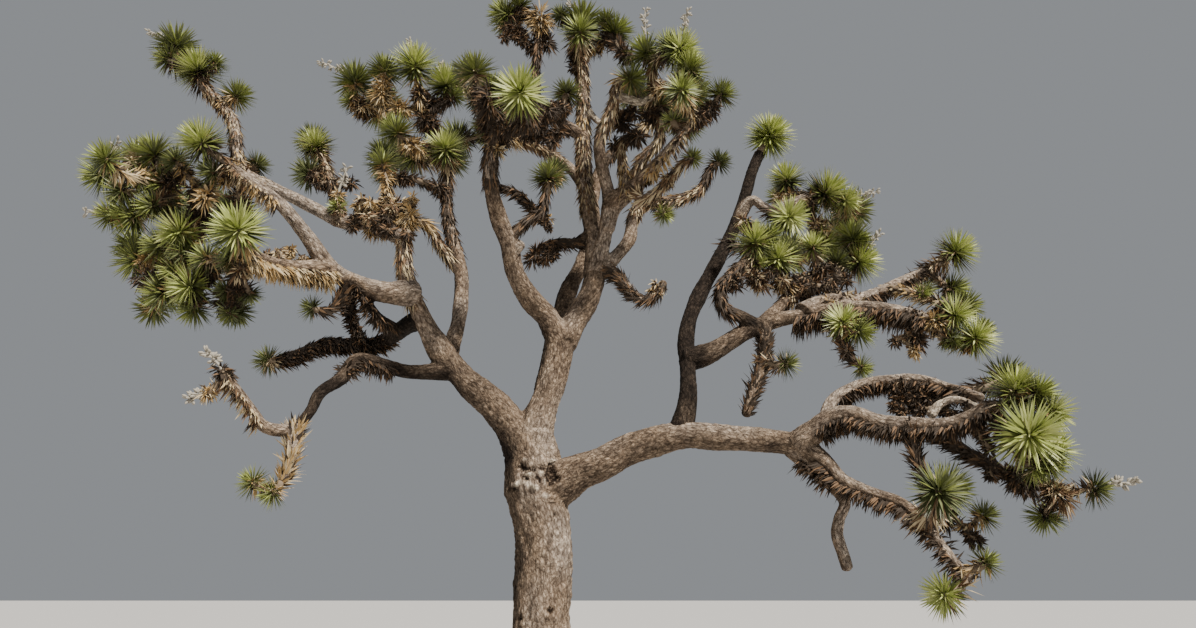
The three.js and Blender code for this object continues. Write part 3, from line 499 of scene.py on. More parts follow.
class StageSettings(PropertyGroup):
    """The floor, the light and the camera."""

    floor_size: measure("Floor", "Width of the floor", 240.0)
    floor_colour: swatch("Floor colour", "Plain pale floor", (0.5, 0.49, 0.475))
    key_power: FloatProperty(name="Key light", description="Strength of the soft key light", default=7.6)
    key_colour: swatch("Key colour", "Colour of the key light", (1.0, 0.95, 0.87))
    key_width: measure("Key width", "How wide the key light looks", np.radians(5.0), "ROTATION")
    key_tilt: measure("Key tilt", "Lean of the key light from overhead", np.radians(43.0), "ROTATION")
    key_turn: measure("Key turn", "Turn of the key light", np.radians(38.0), "ROTATION")
    fill_power: FloatProperty(name="Surround", description="Strength of the pale surround", default=0.31)
    fill_colour: swatch("Surround colour", "Colour of the pale surround", (0.86, 0.9, 0.95))


GREEN_TINTS = ("young", "streak_highlight", "full", "deep", "dusky")
DEAD_TINTS = ("golden", "straw", "rust", "umber_and_shade")
DRY_KINDS = ("dead", "dark")


# Points, paths and surfaces

def unit(vectors):
    """Vectors of length one along the last axis."""
    return vectors / np.maximum(np.linalg.norm(vectors, axis=-1, keepdims=True), 1e-9)


def place(stations):
    """Stations slid along the line of sight to their true depth, and how much larger things are there."""
    read = np.asarray(stations, float)[:, :3] * MM
    scale = (read[:, 1] - EYE[1]) / -EYE[1]
    flat = np.stack([read[:, 0], np.zeros(len(read)), read[:, 2]], 1)
    return EYE + (flat - EYE) * scale[:, None], scale


def smooth_path(points, spacing):
    """A cubic through every point, whose slopes weigh the two chords by their lengths, at even spacing."""
    chords = np.linalg.norm(np.diff(points, axis=0), axis=1)
    knots = np.concatenate([[0.0], np.cumsum(chords)])
    slopes = np.diff(points, axis=0) / chords[:, None]
    ahead, behind = chords[1:, None], chords[:-1, None]
    inner = (slopes[:-1] * ahead + slopes[1:] * behind) / (ahead + behind)
    tangents = np.concatenate([slopes[:1], inner, slopes[-1:]])
    fine = np.linspace(0.0, knots[-1], FINE_POINTS * len(points))
    i = np.clip(np.searchsorted(knots, fine, side="right") - 1, 0, len(chords) - 1)
    h = chords[i][:, None]
    t = (fine[:, None] - knots[i][:, None]) / h
    curve = (
        (2 * t**3 - 3 * t**2 + 1) * points[i]
        + (t**3 - 2 * t**2 + t) * h * tangents[i]
        + (3 * t**2 - 2 * t**3) * points[i + 1]
        + (t**3 - t**2) * h * tangents[i + 1]
    )
    travelled = np.concatenate([[0.0], np.cumsum(np.linalg.norm(np.diff(curve, axis=0), axis=1))])
    even = np.linspace(0.0, travelled[-1], max(4, int(travelled[-1] / spacing) + 1))
    return np.stack([np.interp(even, travelled, curve[:, k]) for k in range(3)], 1)


def path_frames(path):
    """Tangent, side and upper directions along a path, from the row axis that it follows least."""
    tangent = unit(np.gradient(path, axis=0))
    reference = np.eye(3)[np.argmin(np.abs(tangent).max(0))]
    side = unit(np.cross(tangent, reference))
    return tangent, side, np.cross(side, tangent)


def lengths_along(path):
    """Distance travelled at each point of a path."""
    return np.concatenate([[0.0], np.cumsum(np.linalg.norm(np.diff(path, axis=0), axis=1))])


def tube(path, radii, sides, lobes=None):
    """Ring k is path[k] + radius (side cos a + upper sin a), the radius times lobes(k, a) if given, and each
    end has a pole."""
    tangent, side, upper = path_frames(path)
    angle = np.linspace(0.0, 2 * np.pi, sides, endpoint=False)
    shares = np.ones((len(path), sides)) if lobes is None else lobes(path, angle)
    reach = np.asarray(radii)[:, None] * shares
    ring = side[:, None] * np.cos(angle)[None, :, None] + upper[:, None] * np.sin(angle)[None, :, None]
    rings = (path[:, None] + ring * reach[..., None]).reshape(-1, 3)
    poles = [path[:1] - tangent[:1] * radii[0] * POLES[0], path[-1:] + tangent[-1:] * radii[-1] * POLES[1]]
    points = np.concatenate([rings, *poles])
    a = np.arange(sides)
    b = (a + 1) % sides
    low = (np.arange(len(path) - 1) * sides)[:, None]
    walls = np.concatenate([
        np.stack([low + a, low + b, low + b + sides], -1).reshape(-1, 3),
        np.stack([low + a, low + b + sides, low + a + sides], -1).reshape(-1, 3),
    ])
    top = (len(path) - 1) * sides
    first, last = len(rings), len(rings) + 1
    caps = np.concatenate([
        np.stack([b, a, np.full(sides, first)], 1),
        np.stack([top + a, top + b, np.full(sides, last)], 1),
    ])
    triangles = np.concatenate([walls, caps])
    return points, facing_out(points, triangles)


def facing_out(points, triangles):
    """The triangles, turned over where the closed surface that they make has a negative volume."""
    a, b, c = (points[triangles[:, k]] - points[0] for k in range(3))
    return triangles if np.einsum("ij,ij->", a, np.cross(b, c)) > 0 else triangles[:, ::-1]


def joined(surfaces):
    """Several (points, triangles) as one."""
    counts = np.cumsum([0] + [len(points) for points, _ in surfaces])
    points = np.concatenate([points for points, _ in surfaces])
    triangles = np.concatenate([triangles + n for (_, triangles), n in zip(surfaces, counts)])
    return points, triangles


def make_mesh(name, points, triangles, tints=None, smooth=False):
    """A mesh of triangles, with a material number for each."""
    mesh = bpy.data.meshes.new(name)
    mesh.vertices.add(len(points))
    mesh.vertices.foreach_set("co", np.asarray(points, np.float32).ravel())
    mesh.loops.add(3 * len(triangles))
    mesh.loops.foreach_set("vertex_index", np.asarray(triangles, np.int32).ravel())
    mesh.polygons.add(len(triangles))
    mesh.polygons.foreach_set("loop_start", np.arange(0, 3 * len(triangles), 3, dtype=np.int32))
    mesh.update(calc_edges=True)
    if tints is not None:
        mesh.polygons.foreach_set("material_index", np.asarray(tints, np.int32))
    mesh.polygons.foreach_set("use_smooth", np.full(len(triangles), smooth))
    return mesh


def add_piece(name, mesh, materials, nodes=()):
    """A finished piece in the scene: its materials, the body it rides on and the nodes it stands for."""
    piece = bpy.data.objects.new(name, mesh)
    bpy.context.scene.collection.objects.link(piece)
    for material in materials:
        mesh.materials.append(material)
    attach(piece, "root")
    if nodes:
        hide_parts(*nodes)
    return piece


# Noise on points

def scattered(cells, seed):
    """Three numbers from 0 to 1 for each whole-number cell, always the same for the same cell."""
    mixed = cells @ np.array([[127.1, 269.5, 419.2], [311.7, 183.3, 371.9], [74.7, 246.1, 138.3]]) + seed
    return np.modf(np.abs(np.sin(mixed) * 43758.5453))[0]


def plates(points, size, seed):
    """How far a point is from the nearest seam between jittered cells: second nearest cell less nearest."""
    scaled = points / size
    cell = np.floor(scaled)
    nearest = np.full(len(points), 9.0)
    second = nearest.copy()
    for step in np.ndindex(3, 3, 3):
        other = cell + (np.array(step) - 1)
        away = np.linalg.norm(other + scattered(other, seed) - scaled, axis=1)
        second = np.minimum(second, np.maximum(nearest, away))
        nearest = np.minimum(nearest, away)
    return second - nearest


def ripple(points, wavelength, seed):
    """A smooth unevenness, mostly from -1 to 1: twice the mean of six sine waves in random directions."""
    rng = np.random.default_rng(seed)
    waves = unit(rng.normal(size=(6, 3))) * (2 * np.pi / (wavelength * rng.uniform(0.7, 1.5, (6, 1))))
    return np.sin(points @ waves.T + rng.uniform(0, 6.28, 6)).mean(1) * 2.0


# The skeleton

# How much a limb's radius varies, over what distance, and by how much and how far from its parent it swells.
KNOBS = (0.05, 0.35)
SWELLING = (0.28, 0.2)


def trunk_lobes(path, angle):
    """One, plus shallow root lobes that fade with height."""
    fade = np.exp(-np.maximum(path[:, 2], 0.0) / FLARE_FADE)[:, None]
    return 1 + LOBE_DEPTH * fade * np.cos(ROOT_LOBES * angle)[None]


@lru_cache(maxsize=None)
def skeleton():
    """Every limb and branch as {name: (path, radii)}. Its radius narrows evenly, is a little knobbly and
    swells towards the parent."""
    out = {}
    for name, (radii, stations) in {**LIMBS, **BRANCHES}.items():
        points, scale = place(stations)
        path = smooth_path(points, LIMB_PATH_STEP)
        along = lengths_along(path)
        share = along / along[-1]
        size = np.interp(path[:, 1], np.sort(points[:, 1]), np.sort(scale))
        radius = (radii[0] + (radii[1] - radii[0]) * share) * MM * size
        knobs = 1 + KNOBS[0] * ripple(path, KNOBS[1], len(out))
        swelling = 1 + SWELLING[0] * np.exp(-((along / SWELLING[1]) ** 2))
        out[name] = (path, radius * knobs * swelling)
    return out


def joint_curve(start, heading, end, arrival, count):
    """A cubic from start, leaving along heading, to end, arriving along arrival."""
    reach = np.linalg.norm(end - start)
    t = np.linspace(0.0, 1.0, count)[:, None]
    return (
        (2 * t**3 - 3 * t**2 + 1) * start
        + (t**3 - 2 * t**2 + t) * heading * reach
        + (3 * t**2 - 2 * t**3) * end
        + (t**3 - t**2) * arrival * reach
    )


# The least and largest radius of a tuft, as shares of its row's.
TUFT_SIZES = (0.88, 1.12)


def tufts(seed):
    """Heads from TUFT_ROWS: tuft i of n stands at share (i + 0.5) / n of its row, strayed at random."""
    rng = np.random.default_rng(seed)
    out = []
    for kind, start, end, stray, count, radius in TUFT_ROWS:
        share = ((np.arange(count) + 0.5) / count)[:, None]
        spots = np.array(start) + share * np.subtract(end, start) + rng.normal(0, stray, (count, 3))
        out += [(*spot, radius * rng.uniform(*TUFT_SIZES), kind) for spot in spots]
    return out


# The least radius of a head that bears a second one, how far apart the two are, how far the second strays
# and drops, its size as a share of the first, the room that it needs, how many of them lie behind the first
# and how many of them are plain.
SECOND_LEAST = 0.17
SECOND_APART = (0.42, 0.7)
SECOND_STRAY = 0.09
SECOND_DROP = 0.08
SECOND_SIZES = (0.75, 0.95)
SECOND_ROOM = 0.36
SECOND_BEHIND = 0.6
SECOND_PLAIN = 0.6


def wanted_heads():
    """Every head as (centre, radius, kind). A share of the large ones has a second head behind or before it
    along the line of sight, where there is room for it within the solids' box."""
    leaves = bpy.context.scene.joshua_leaves
    stations = [(*head, kind) for kind, heads in HEADS.items() for head in heads] + tufts(leaves.seed)
    centres, scale = place([station[:3] for station in stations])
    wanted = [(centre, s[3] * MM * k, s[4]) for centre, k, s in zip(centres, scale, stations)]
    low, high = np.array(CAD_BOX)
    crowd = list(centres)
    for station, (centre, radius, kind) in zip(stations, list(wanted)):
        rng = np.random.default_rng([leaves.seed, *np.abs(station[:3]).astype(int)])
        if kind in (*DRY_KINDS, "bald") or radius < SECOND_LEAST or rng.random() > leaves.second_heads:
            continue
        sight = unit(centre - EYE)
        back = 1.0 if kind == "bright" or rng.random() < SECOND_BEHIND else -1.0
        other = centre + sight * back * rng.uniform(*SECOND_APART)
        other = other + rng.normal(0, SECOND_STRAY, 3) - UP * SECOND_DROP
        size = radius * rng.uniform(*SECOND_SIZES)
        clear = np.linalg.norm(np.array(crowd) - other, axis=1).min() > SECOND_ROOM
        inside = np.all(other - size > low) and np.all(other + size < high)
        if clear and inside:
            wanted.append((other, size, "plain" if rng.random() < SECOND_PLAIN else "shaded"))
            crowd.append(other)
    return wanted


# What turning costs against length where a twig starts, and what a start on a limb of such a radius costs.
TURN_COST = 0.22
THICK_LIMB = 0.14
THICK_COST = 0.35
CROWN_MIDDLE = np.array([0.0, 0.0, 3.2])
TWIG_STEP = 0.05
TWIG_RADII = (0.062, 0.036)
# A twig's radius at its start, as a share of its bearer's, and how much its first heading is its bearer's
# and how much points to the head.
TWIG_SHARE = 0.85
TWIG_HEADING = (0.8, 0.7)
# How much a head's axis points on from its twig's start, up, away from the crown's middle and by chance.
GREEN_AXIS = (0.75, 0.45, 0.35, 0.14)
DRY_AXIS = (1.0, -0.15, 0.3, 0.2)
# How much a twig's end turns to whoever looks, under the heads that face them.
FACING = {"bright": 0.85, "bald": 1.3}


def head_axis(weights, towards, outward, rng):
    """The direction in which a head points."""
    on, up, away, chance = weights
    return unit(towards * on + UP * up + outward * away + rng.normal(0, chance, 3))


@lru_cache(maxsize=None)
def grown_heads():
    """The branching rule. Heads are taken from the nearest to the furthest, and each grows a twig from the
    limb, branch or earlier twig that it reaches with the least length and turning. Gives a list of heads:
    centre, axis, radius, kind, and the twig that bears them with its radii."""
    leaves = bpy.context.scene.joshua_leaves
    wanted = wanted_heads()
    paths = list(skeleton().values())
    points = np.concatenate([path for path, _ in paths])
    tangents = np.concatenate([path_frames(path)[0] for path, _ in paths])
    widths = np.concatenate([radii for _, radii in paths])
    order = np.argsort([np.linalg.norm(points - centre, axis=1).min() for centre, _, _ in wanted])
    heads = []
    for n in order:
        centre, radius, kind = wanted[n]
        rng = np.random.default_rng([leaves.seed, *np.abs(centre * 1000).astype(int)])
        gap = centre - points
        reach = np.linalg.norm(gap, axis=1)
        turn = 1 - np.einsum("ij,ij->i", gap, tangents) / np.maximum(reach, 1e-6)
        best = np.argmin(reach * (1 + TURN_COST * turn) + THICK_COST * (widths > THICK_LIMB))
        start, tangent, width = points[best], tangents[best], widths[best]
        towards = unit(centre - start)
        outward = unit(centre - CROWN_MIDDLE)
        axis = head_axis(GREEN_AXIS, towards, outward, rng)
        if kind in FACING:
            axis = unit(axis + FACING[kind] * unit(EYE - centre))
        if kind in DRY_KINDS:
            axis = head_axis(DRY_AXIS, towards, outward, rng)
        heading = unit(tangent * TWIG_HEADING[0] + towards * TWIG_HEADING[1])
        count = max(5, int(np.linalg.norm(centre - start) / TWIG_STEP))
        path = joint_curve(start, heading, centre, axis, count)
        root = min(TWIG_RADII[0], width * TWIG_SHARE)
        radii = np.linspace(root, min(TWIG_RADII[1], root), count)
        heads.append((centre, unit(path[-1] - path[-2]), radius, kind, path, radii))
        points = np.concatenate([points, path[2:-2]])
        tangents = np.concatenate([tangents, path_frames(path)[0][2:-2]])
        widths = np.concatenate([widths, radii[2:-2]])
    return heads


# Leaves

# Where a leaf has rings, as shares of its length, and how wide and deep they are, as shares of its width.
LEAF_STATIONS = np.array([0.0, 0.45])
LEAF_WIDTHS = np.array([0.95, 1.0])
LEAF_KEELS = np.array([0.34, 0.28])


def leaf_surfaces(base, direction, side, length, width, bend):
    """Closed three-sided daggers. At share t of its length a leaf's spine is base + length (t direction +
    t squared bend). Its two edges lie width / 2 to each side, its keel below, and all meet at the tip."""
    face = np.cross(side, direction)
    t = LEAF_STATIONS[None, :, None]
    spine = base[:, None] + length[:, None, None] * (t * direction[:, None] + t**2 * bend[:, None])
    half = 0.5 * width[:, None, None] * LEAF_WIDTHS[None, :, None]
    keel = width[:, None, None] * LEAF_KEELS[None, :, None]
    left, right = spine - side[:, None] * half, spine + side[:, None] * half
    rings = np.stack([left, spine - face[:, None] * keel, right], 2)
    tip = base + length[:, None] * (direction + bend)
    points = np.concatenate([rings.reshape(len(base), -1, 3), tip[:, None]], 1)
    count = len(LEAF_STATIONS)
    walls = []
    for ring in range(count - 1):
        for p in range(3):
            q = (p + 1) % 3
            low, high = 3 * (ring + 1), 3 * ring
            walls += [(low + p, low + q, high + q), (low + p, high + q, high + p)]
    ends = [(3 * count, 3 * (count - 1) + (p + 1) % 3, 3 * (count - 1) + p) for p in range(3)]
    one = np.array([(0, 1, 2), *walls, *ends])
    each = points.shape[1]
    triangles = (one[None] + (np.arange(len(base)) * each)[:, None, None]).reshape(-1, 3)
    return points.reshape(-1, 3), triangles, len(one)


# The two tints of a head's young, grown and old leaves, as numbers of GREEN_TINTS. Bright heads get paler
# tints as painted light, shaded heads darker ones as painted shade.
WHORLS = {
    "bright": ((0, 1), (1, 0), (2, 3)),
    "bald": ((0, 1), (1, 0), (0, 2)),
    "plain": ((2, 0), (2, 4), (3, 2)),
    "shaded": ((2, 4), (3, 4), (3, 3)),
}
GOLDEN_ANGLE = np.radians(137.508)
# One less the cosine of the angle to which leaves spread from the axis: 118 degrees, or more on a bald head.
SPREAD = 1.47
BALD_SPREAD = 1.75
# How much fuller a bald head is, and the radius of a head with the set number of leaves, with the least and
# the largest share of them that any head has.
BALD_FULLNESS = 1.35
FULL_RADIUS = 0.25
LEAF_SHARES = (0.45, 1.35)
# How far ahead of a head's middle its youngest leaves start and how much further back its oldest do, as
# shares of its radius, and how far from the axis all of them start.
LEAF_STARTS = (0.1, 0.35)
AXIS_RADIUS = 0.03
# The youngest leaf's length as a share of the radius, and the share of the leaves that are shorter.
YOUNGEST_LENGTH = 0.74
SHORTER = 1 / 3
# The radius of a head whose leaves have the set width, and the least and largest share of it.
WIDE_RADIUS = 0.23
WIDE_SHARES = (0.65, 1.1)
# How leaves differ: their lean and turn in radians, length, width and curl, and how far the oldest ones sag.
LEAN_STRAY = 0.07
TURN_STRAY = 0.12
LENGTH_SHARES = (0.86, 1.05)
WIDTH_SHARES = (0.8, 1.15)
CURLS = (-0.03, 0.08)
OLD_SAG = 0.07


def rosette(centre, axis, radius, kind, rng):
    """A rosette's leaves: leaf i stands i golden angles round the axis, and the leaves share out evenly the
    part of a sphere to which they spread. Gives the arrays of leaf_surfaces and each leaf's tint."""
    settings = bpy.context.scene.joshua_leaves
    full = BALD_FULLNESS if kind == "bald" else 1.0
    count = int(settings.rosette_leaves * full * np.clip(radius / FULL_RADIUS, *LEAF_SHARES))
    share = (np.arange(count) + 0.5) / count
    cap = BALD_SPREAD if kind == "bald" else SPREAD
    lean = np.arccos(1 - cap * share) + rng.normal(0, LEAN_STRAY, count)
    around = np.arange(count) * GOLDEN_ANGLE + rng.normal(0, TURN_STRAY, count)
    _, side, upper = path_frames(np.stack([centre, centre + axis]))
    out = side[0] * np.cos(around)[:, None] + upper[0] * np.sin(around)[:, None]
    direction = unit(axis * np.cos(lean)[:, None] + out * np.sin(lean)[:, None])
    ahead = radius * (LEAF_STARTS[0] - LEAF_STARTS[1] * share)
    base = centre + axis * ahead[:, None] + out * (AXIS_RADIUS * np.sin(lean))[:, None]
    grown = YOUNGEST_LENGTH + (1 - YOUNGEST_LENGTH) * np.minimum(1, share / SHORTER)
    length = radius * grown * rng.uniform(*LENGTH_SHARES, count)
    edge = unit(np.cross(direction, axis) + 1e-6)
    face = np.cross(edge, direction)
    bend = face * rng.uniform(*CURLS, count)[:, None] - UP * (OLD_SAG * share**2)[:, None]
    width = settings.leaf_width * full * rng.uniform(*WIDTH_SHARES, count)
    width = width * np.clip(radius / WIDE_RADIUS, *WIDE_SHARES)
    choice = np.array(WHORLS[kind])[np.minimum(2, (share * 3).astype(int))]
    tint = choice[np.arange(count), (rng.random(count) > 0.5).astype(int)]
    return (base, direction, edge, length, width, bend), tint


# How much a dead leaf strays from its angle, in degrees, how far leaves sag, and their widths as shares of a
# green leaf's.
DEAD_LEAN_STRAY = 9
DEAD_SAGS = (0.05, 0.45)
DEAD_WIDTHS = (0.6, 1.0)
# The radius of a limb that bears the set number of leaves per metre, and the least and largest share of it.
BEARING_RADIUS = 0.045
BEARING_SHARES = (0.8, 1.9)
# From how far below level leaves of the underside are turned down, and how strongly.
TURNED_DOWN = (0.3, 1.7)
# How far from the axis dead leaves start, as a share of the radius, and how they twist, droop and crumple.
DEAD_START = 0.8
TWIST = 0.25
DROOPS = (0.0, 0.2)
CRUMPLE = 0.06


def hanging_leaves(path, radii, density, angles, sizes, underside, rng):
    """Dead leaves along a path, so many per metre: each points back along it and outwards, at an angle to
    the tangent that runs from angles[0] at the path's end to angles[1] at its start, and sags."""
    bearing = np.clip(radii.mean() / BEARING_RADIUS, *BEARING_SHARES)
    count = max(4, int(density * lengths_along(path)[-1] * bearing))
    share = rng.random(count)
    at = share * (len(path) - 1)
    i = np.minimum(at.astype(int), len(path) - 2)
    spot = path[i] + (path[i + 1] - path[i]) * (at - i)[:, None]
    tangent, side, upper = (v[i] for v in path_frames(path))
    around = rng.uniform(0, 2 * np.pi, count)
    out = side * np.cos(around)[:, None] + upper * np.sin(around)[:, None]
    if underside:
        out = unit(out - UP * np.maximum(0, out[:, 2:] + TURNED_DOWN[0]) * TURNED_DOWN[1])
        out = unit(out - tangent * np.einsum("ij,ij->i", out, tangent)[:, None])
    lean = np.radians(angles[1] + (angles[0] - angles[1]) * share + rng.normal(0, DEAD_LEAN_STRAY, count))
    sag = rng.uniform(*DEAD_SAGS, count)
    direction = unit(-tangent * np.cos(lean)[:, None] + out * np.sin(lean)[:, None] - UP * sag[:, None])
    base = spot + out * (radii[i] * DEAD_START)[:, None]
    length = rng.uniform(*sizes, count)
    edge = unit(np.cross(direction, out) + rng.normal(0, TWIST, (count, 3)))
    edge = unit(edge - direction * np.einsum("ij,ij->i", edge, direction)[:, None])
    bend = -UP * rng.uniform(*DROOPS, count)[:, None] + rng.normal(0, CRUMPLE, (count, 3))
    width = bpy.context.scene.joshua_leaves.leaf_width * rng.uniform(*DEAD_WIDTHS, count)
    return base, direction, edge, length, width, bend


# A ball's leaves at this radius, the least and largest share of it, and how their number grows with it.
BALL_LEAVES = 240
BALL_RADIUS = 0.2
BALL_SHARES = (0.4, 1.3)
BALL_GROWTH = 1.3
# How much a ball's leaves point back and down, how far they start from its middle and along its axis, their
# lengths, all as shares of its radius, and how they droop.
BALL_LEAN = (0.3, 0.45)
BALL_START = 0.25
BALL_REACH = (-0.5, 0.3)
BALL_LENGTHS = (0.45, 0.8)
BALL_DROOPS = (0.05, 0.35)


def dead_ball(centre, axis, radius, rng):
    """A head of dead leaves only: they point every way, most of them back and down."""
    count = int(BALL_LEAVES * np.clip(radius / BALL_RADIUS, *BALL_SHARES) ** BALL_GROWTH)
    direction = unit(rng.normal(0, 1, (count, 3)) - axis * BALL_LEAN[0] - UP * BALL_LEAN[1])
    along = axis * rng.uniform(*BALL_REACH, count)[:, None] * radius
    base = centre + direction * radius * BALL_START + along
    length = radius * rng.uniform(*BALL_LENGTHS, count)
    edge = unit(np.cross(direction, rng.normal(0, 1, (count, 3))))
    bend = -UP * rng.uniform(*BALL_DROOPS, count)[:, None]
    width = bpy.context.scene.joshua_leaves.leaf_width * rng.uniform(*DEAD_WIDTHS, count)
    return base, direction, edge, length, width, bend


# The least height of a leaf above the ground.
LEAF_CLEARANCE = 0.002


def sprays(parts):
    """Many sprays of leaves, each (arrays, tints), as one surface with a material number for each face."""
    arrays = [np.concatenate([arrays[k] for arrays, _ in parts]) for k in range(6)]
    tints = np.concatenate([tint for _, tint in parts])
    points, triangles, each = leaf_surfaces(*arrays)
    points[:, 2] = np.maximum(points[:, 2], LEAF_CLEARANCE)
    return points, triangles, np.repeat(tints, each)


# Materials

def new_material(name):
    """A plain node material, its tree, its surface shader and its object coordinates."""
    material = bpy.data.materials.new(name)
    material.use_nodes = True
    tree = material.node_tree
    shader = tree.nodes["Principled BSDF"]
    where = tree.nodes.new("ShaderNodeTexCoord")
    return material, tree, shader, where.outputs["Object"]


def noise(tree, where, scale, detail=3.0, roughness=0.55):
    """A noise texture at a place."""
    node = tree.nodes.new("ShaderNodeTexNoise")
    node.inputs["Scale"].default_value = scale
    node.inputs["Detail"].default_value = detail
    node.inputs["Roughness"].default_value = roughness
    tree.links.new(where, node.inputs["Vector"])
    return node.outputs["Fac"]


def ramp(tree, factor, stops):
    """A colour ramp from [(place, colour), ...]."""
    node = tree.nodes.new("ShaderNodeValToRGB")
    elements = node.color_ramp.elements
    while len(elements) < len(stops):
        elements.new(0.5)
    for element, (spot, colour) in zip(elements, stops):
        element.position = spot
        element.color = (*colour, 1.0)
    tree.links.new(factor, node.inputs["Fac"])
    return node.outputs["Color"]


def multiplied(tree, a, b):
    """One colour times another."""
    node = tree.nodes.new("ShaderNodeMix")
    node.data_type = "RGBA"
    node.blend_type = "MULTIPLY"
    node.inputs[0].default_value = 1.0
    tree.links.new(a, node.inputs[6])
    tree.links.new(b, node.inputs[7])
    return node.outputs[2]


def bumped(tree, shader, heights):
    """Bump nodes in a row, from [(height, strength, distance), ...]."""
    normal = None
    for height, strength, distance in heights:
        node = tree.nodes.new("ShaderNodeBump")
        node.inputs["Strength"].default_value = strength
        node.inputs["Distance"].default_value = distance
        tree.links.new(height, node.inputs["Height"])
        if normal:
            tree.links.new(normal, node.inputs["Normal"])
        normal = node.outputs["Normal"]
    tree.links.new(normal, shader.inputs["Normal"])


def attribute(tree, name, output="Fac"):
    """A mesh attribute."""
    node = tree.nodes.new("ShaderNodeAttribute")
    node.attribute_name = name
    return node.outputs[output]


def cracks(tree, where, scale):
    """How far a place is from the nearest edge between random cells, from 0 at the edge."""
    node = tree.nodes.new("ShaderNodeTexVoronoi")
    node.feature = "DISTANCE_TO_EDGE"
    node.inputs["Scale"].default_value = scale
    tree.links.new(where, node.inputs["Vector"])
    return node.outputs["Distance"]


def warped(tree, where, scale, amount):
    """A place moved about by a noise."""
    node = tree.nodes.new("ShaderNodeTexNoise")
    node.inputs["Scale"].default_value = scale
    node.inputs["Detail"].default_value = 2.0
    tree.links.new(where, node.inputs["Vector"])
    sum_node = tree.nodes.new("ShaderNodeVectorMath")
    sum_node.operation = "MULTIPLY_ADD"
    tree.links.new(node.outputs["Color"], sum_node.inputs[0])
    sum_node.inputs[1].default_value = (amount, amount, amount)
    tree.links.new(where, sum_node.inputs[2])
    return sum_node.outputs["Vector"]


# How weathered the bark has to be for each of its colours. The darkest, at nought, is old bark and painted
# shade.
WEATHER_AND_SHADE_STOPS = (0.0, 0.5, 0.85, 1.0)
# What multiplies the bark's colour, from small to large values of each pattern.
BARK_LAYERS = {
    "patches": ((0.3, (0.68, 0.66, 0.66)), (0.7, (1.22, 1.2, 1.16))),
    "mottle": ((0.36, (0.52, 0.49, 0.47)), (0.5, (0.97, 0.96, 0.95)), (0.64, (1.3, 1.27, 1.23))),
    "flecks": ((0.32, (0.2, 0.17, 0.15)), (0.45, (0.78, 0.75, 0.72)), (0.56, (1.0, 0.98, 0.95)),
        (0.66, (1.7, 1.6, 1.52))),
    "seams": ((0.0, (0.5, 0.47, 0.45)), (0.12, (0.84, 0.82, 0.8)), (0.24, (1, 1, 1))),
    "hairlines": ((0.0, (0.72, 0.7, 0.68)), (0.16, (1, 1, 1))),
    # Painted shade in deep seams and hollows.
    "hollows": ((0.0, (1, 1, 1)), (0.5, (0.62, 0.6, 0.58)), (1.0, (0.07, 0.058, 0.05))),
}
# The scale, detail and roughness of each noise, and the relief of each pattern: its strength and depth.
BARK_NOISES = {
    "patches": (9.0, 5.0, 0.55),
    "mottle": (27.0, 4.0, 0.6),
    "flecks": (48.0, 7.0, 0.74),
    "fraying": (38.0, 5.0, 0.65),
    "finest": (190.0, 2.0, 0.55),
}
BARK_BUMPS = {"seams": (0.8, 0.03), "flecks": (0.9, 0.02), "finest": (0.5, 0.004)}
# How finely and how far the cracks bend, and how much finer hairlines are than seams.
CRACK_WARP = (22.0, 0.03)
HAIRLINE_FINENESS = 2.6
# How much of a hollow's painted shade shows, from small to large values of a noise.
FRAYING = ((0.36, (0.25, 0.25, 0.25)), (0.5, (1, 1, 1)))


# How rough each kind of leaf, twig and stalk is, and how fine its fibres are.
FINISHES = {
    "leaf": (0.42, 160.0),
    "dead": (0.8, 120.0),
    "twig_bark": (0.9, 90.0),
    "dry_stalk": (0.75, 140.0),
}


@lru_cache(maxsize=None)
def bark_material():
    """Corky bark: dark seams, grey-brown plates and bleached patches, laid out along each limb, with painted
    shade in deep seams, hollows and shaded limbs, and partly painted light on tops.
    """
    settings = bpy.context.scene.joshua_bark
    material, tree, shader, where = new_material("plated_bark")
    grain = attribute(tree, "grain", "Vector")
    bent = warped(tree, grain, *CRACK_WARP)
    fine = cracks(tree, bent, 1 / settings.plate_size)
    rough = noise(tree, grain, *BARK_NOISES["flecks"])
    # The painted shade of deep seams and hollows, frayed by a noise.
    frayed = tree.nodes.new("ShaderNodeMath")
    frayed.operation = "MULTIPLY"
    frayed.use_clamp = True
    tree.links.new(attribute(tree, "seam"), frayed.inputs[0])
    tree.links.new(ramp(tree, noise(tree, where, *BARK_NOISES["fraying"]), FRAYING), frayed.inputs[1])
    tones = (settings.old_and_shaded_colour, settings.plate_colour, settings.pale_colour, settings.bare_colour)
    colour = ramp(tree, attribute(tree, "weather_and_shade"), tuple(zip(WEATHER_AND_SHADE_STOPS, tones)))
    patterns = {
        "patches": noise(tree, where, *BARK_NOISES["patches"]),
        "mottle": noise(tree, grain, *BARK_NOISES["mottle"]),
        "flecks": rough,
        "seams": fine,
        "hairlines": cracks(tree, bent, HAIRLINE_FINENESS / settings.plate_size),
        "hollows": frayed.outputs[0],
    }
    for layer, factor in patterns.items():
        colour = multiplied(tree, colour, ramp(tree, factor, BARK_LAYERS[layer]))
    tree.links.new(colour, shader.inputs["Base Color"])
    shader.inputs["Roughness"].default_value = 0.95
    shader.inputs["Specular IOR Level"].default_value = 0.15
    reliefs = {"seams": fine, "flecks": rough, "finest": noise(tree, grain, *BARK_NOISES["finest"])}
    bumped(tree, shader, [(height, *BARK_BUMPS[name]) for name, height in reliefs.items()])
    return material


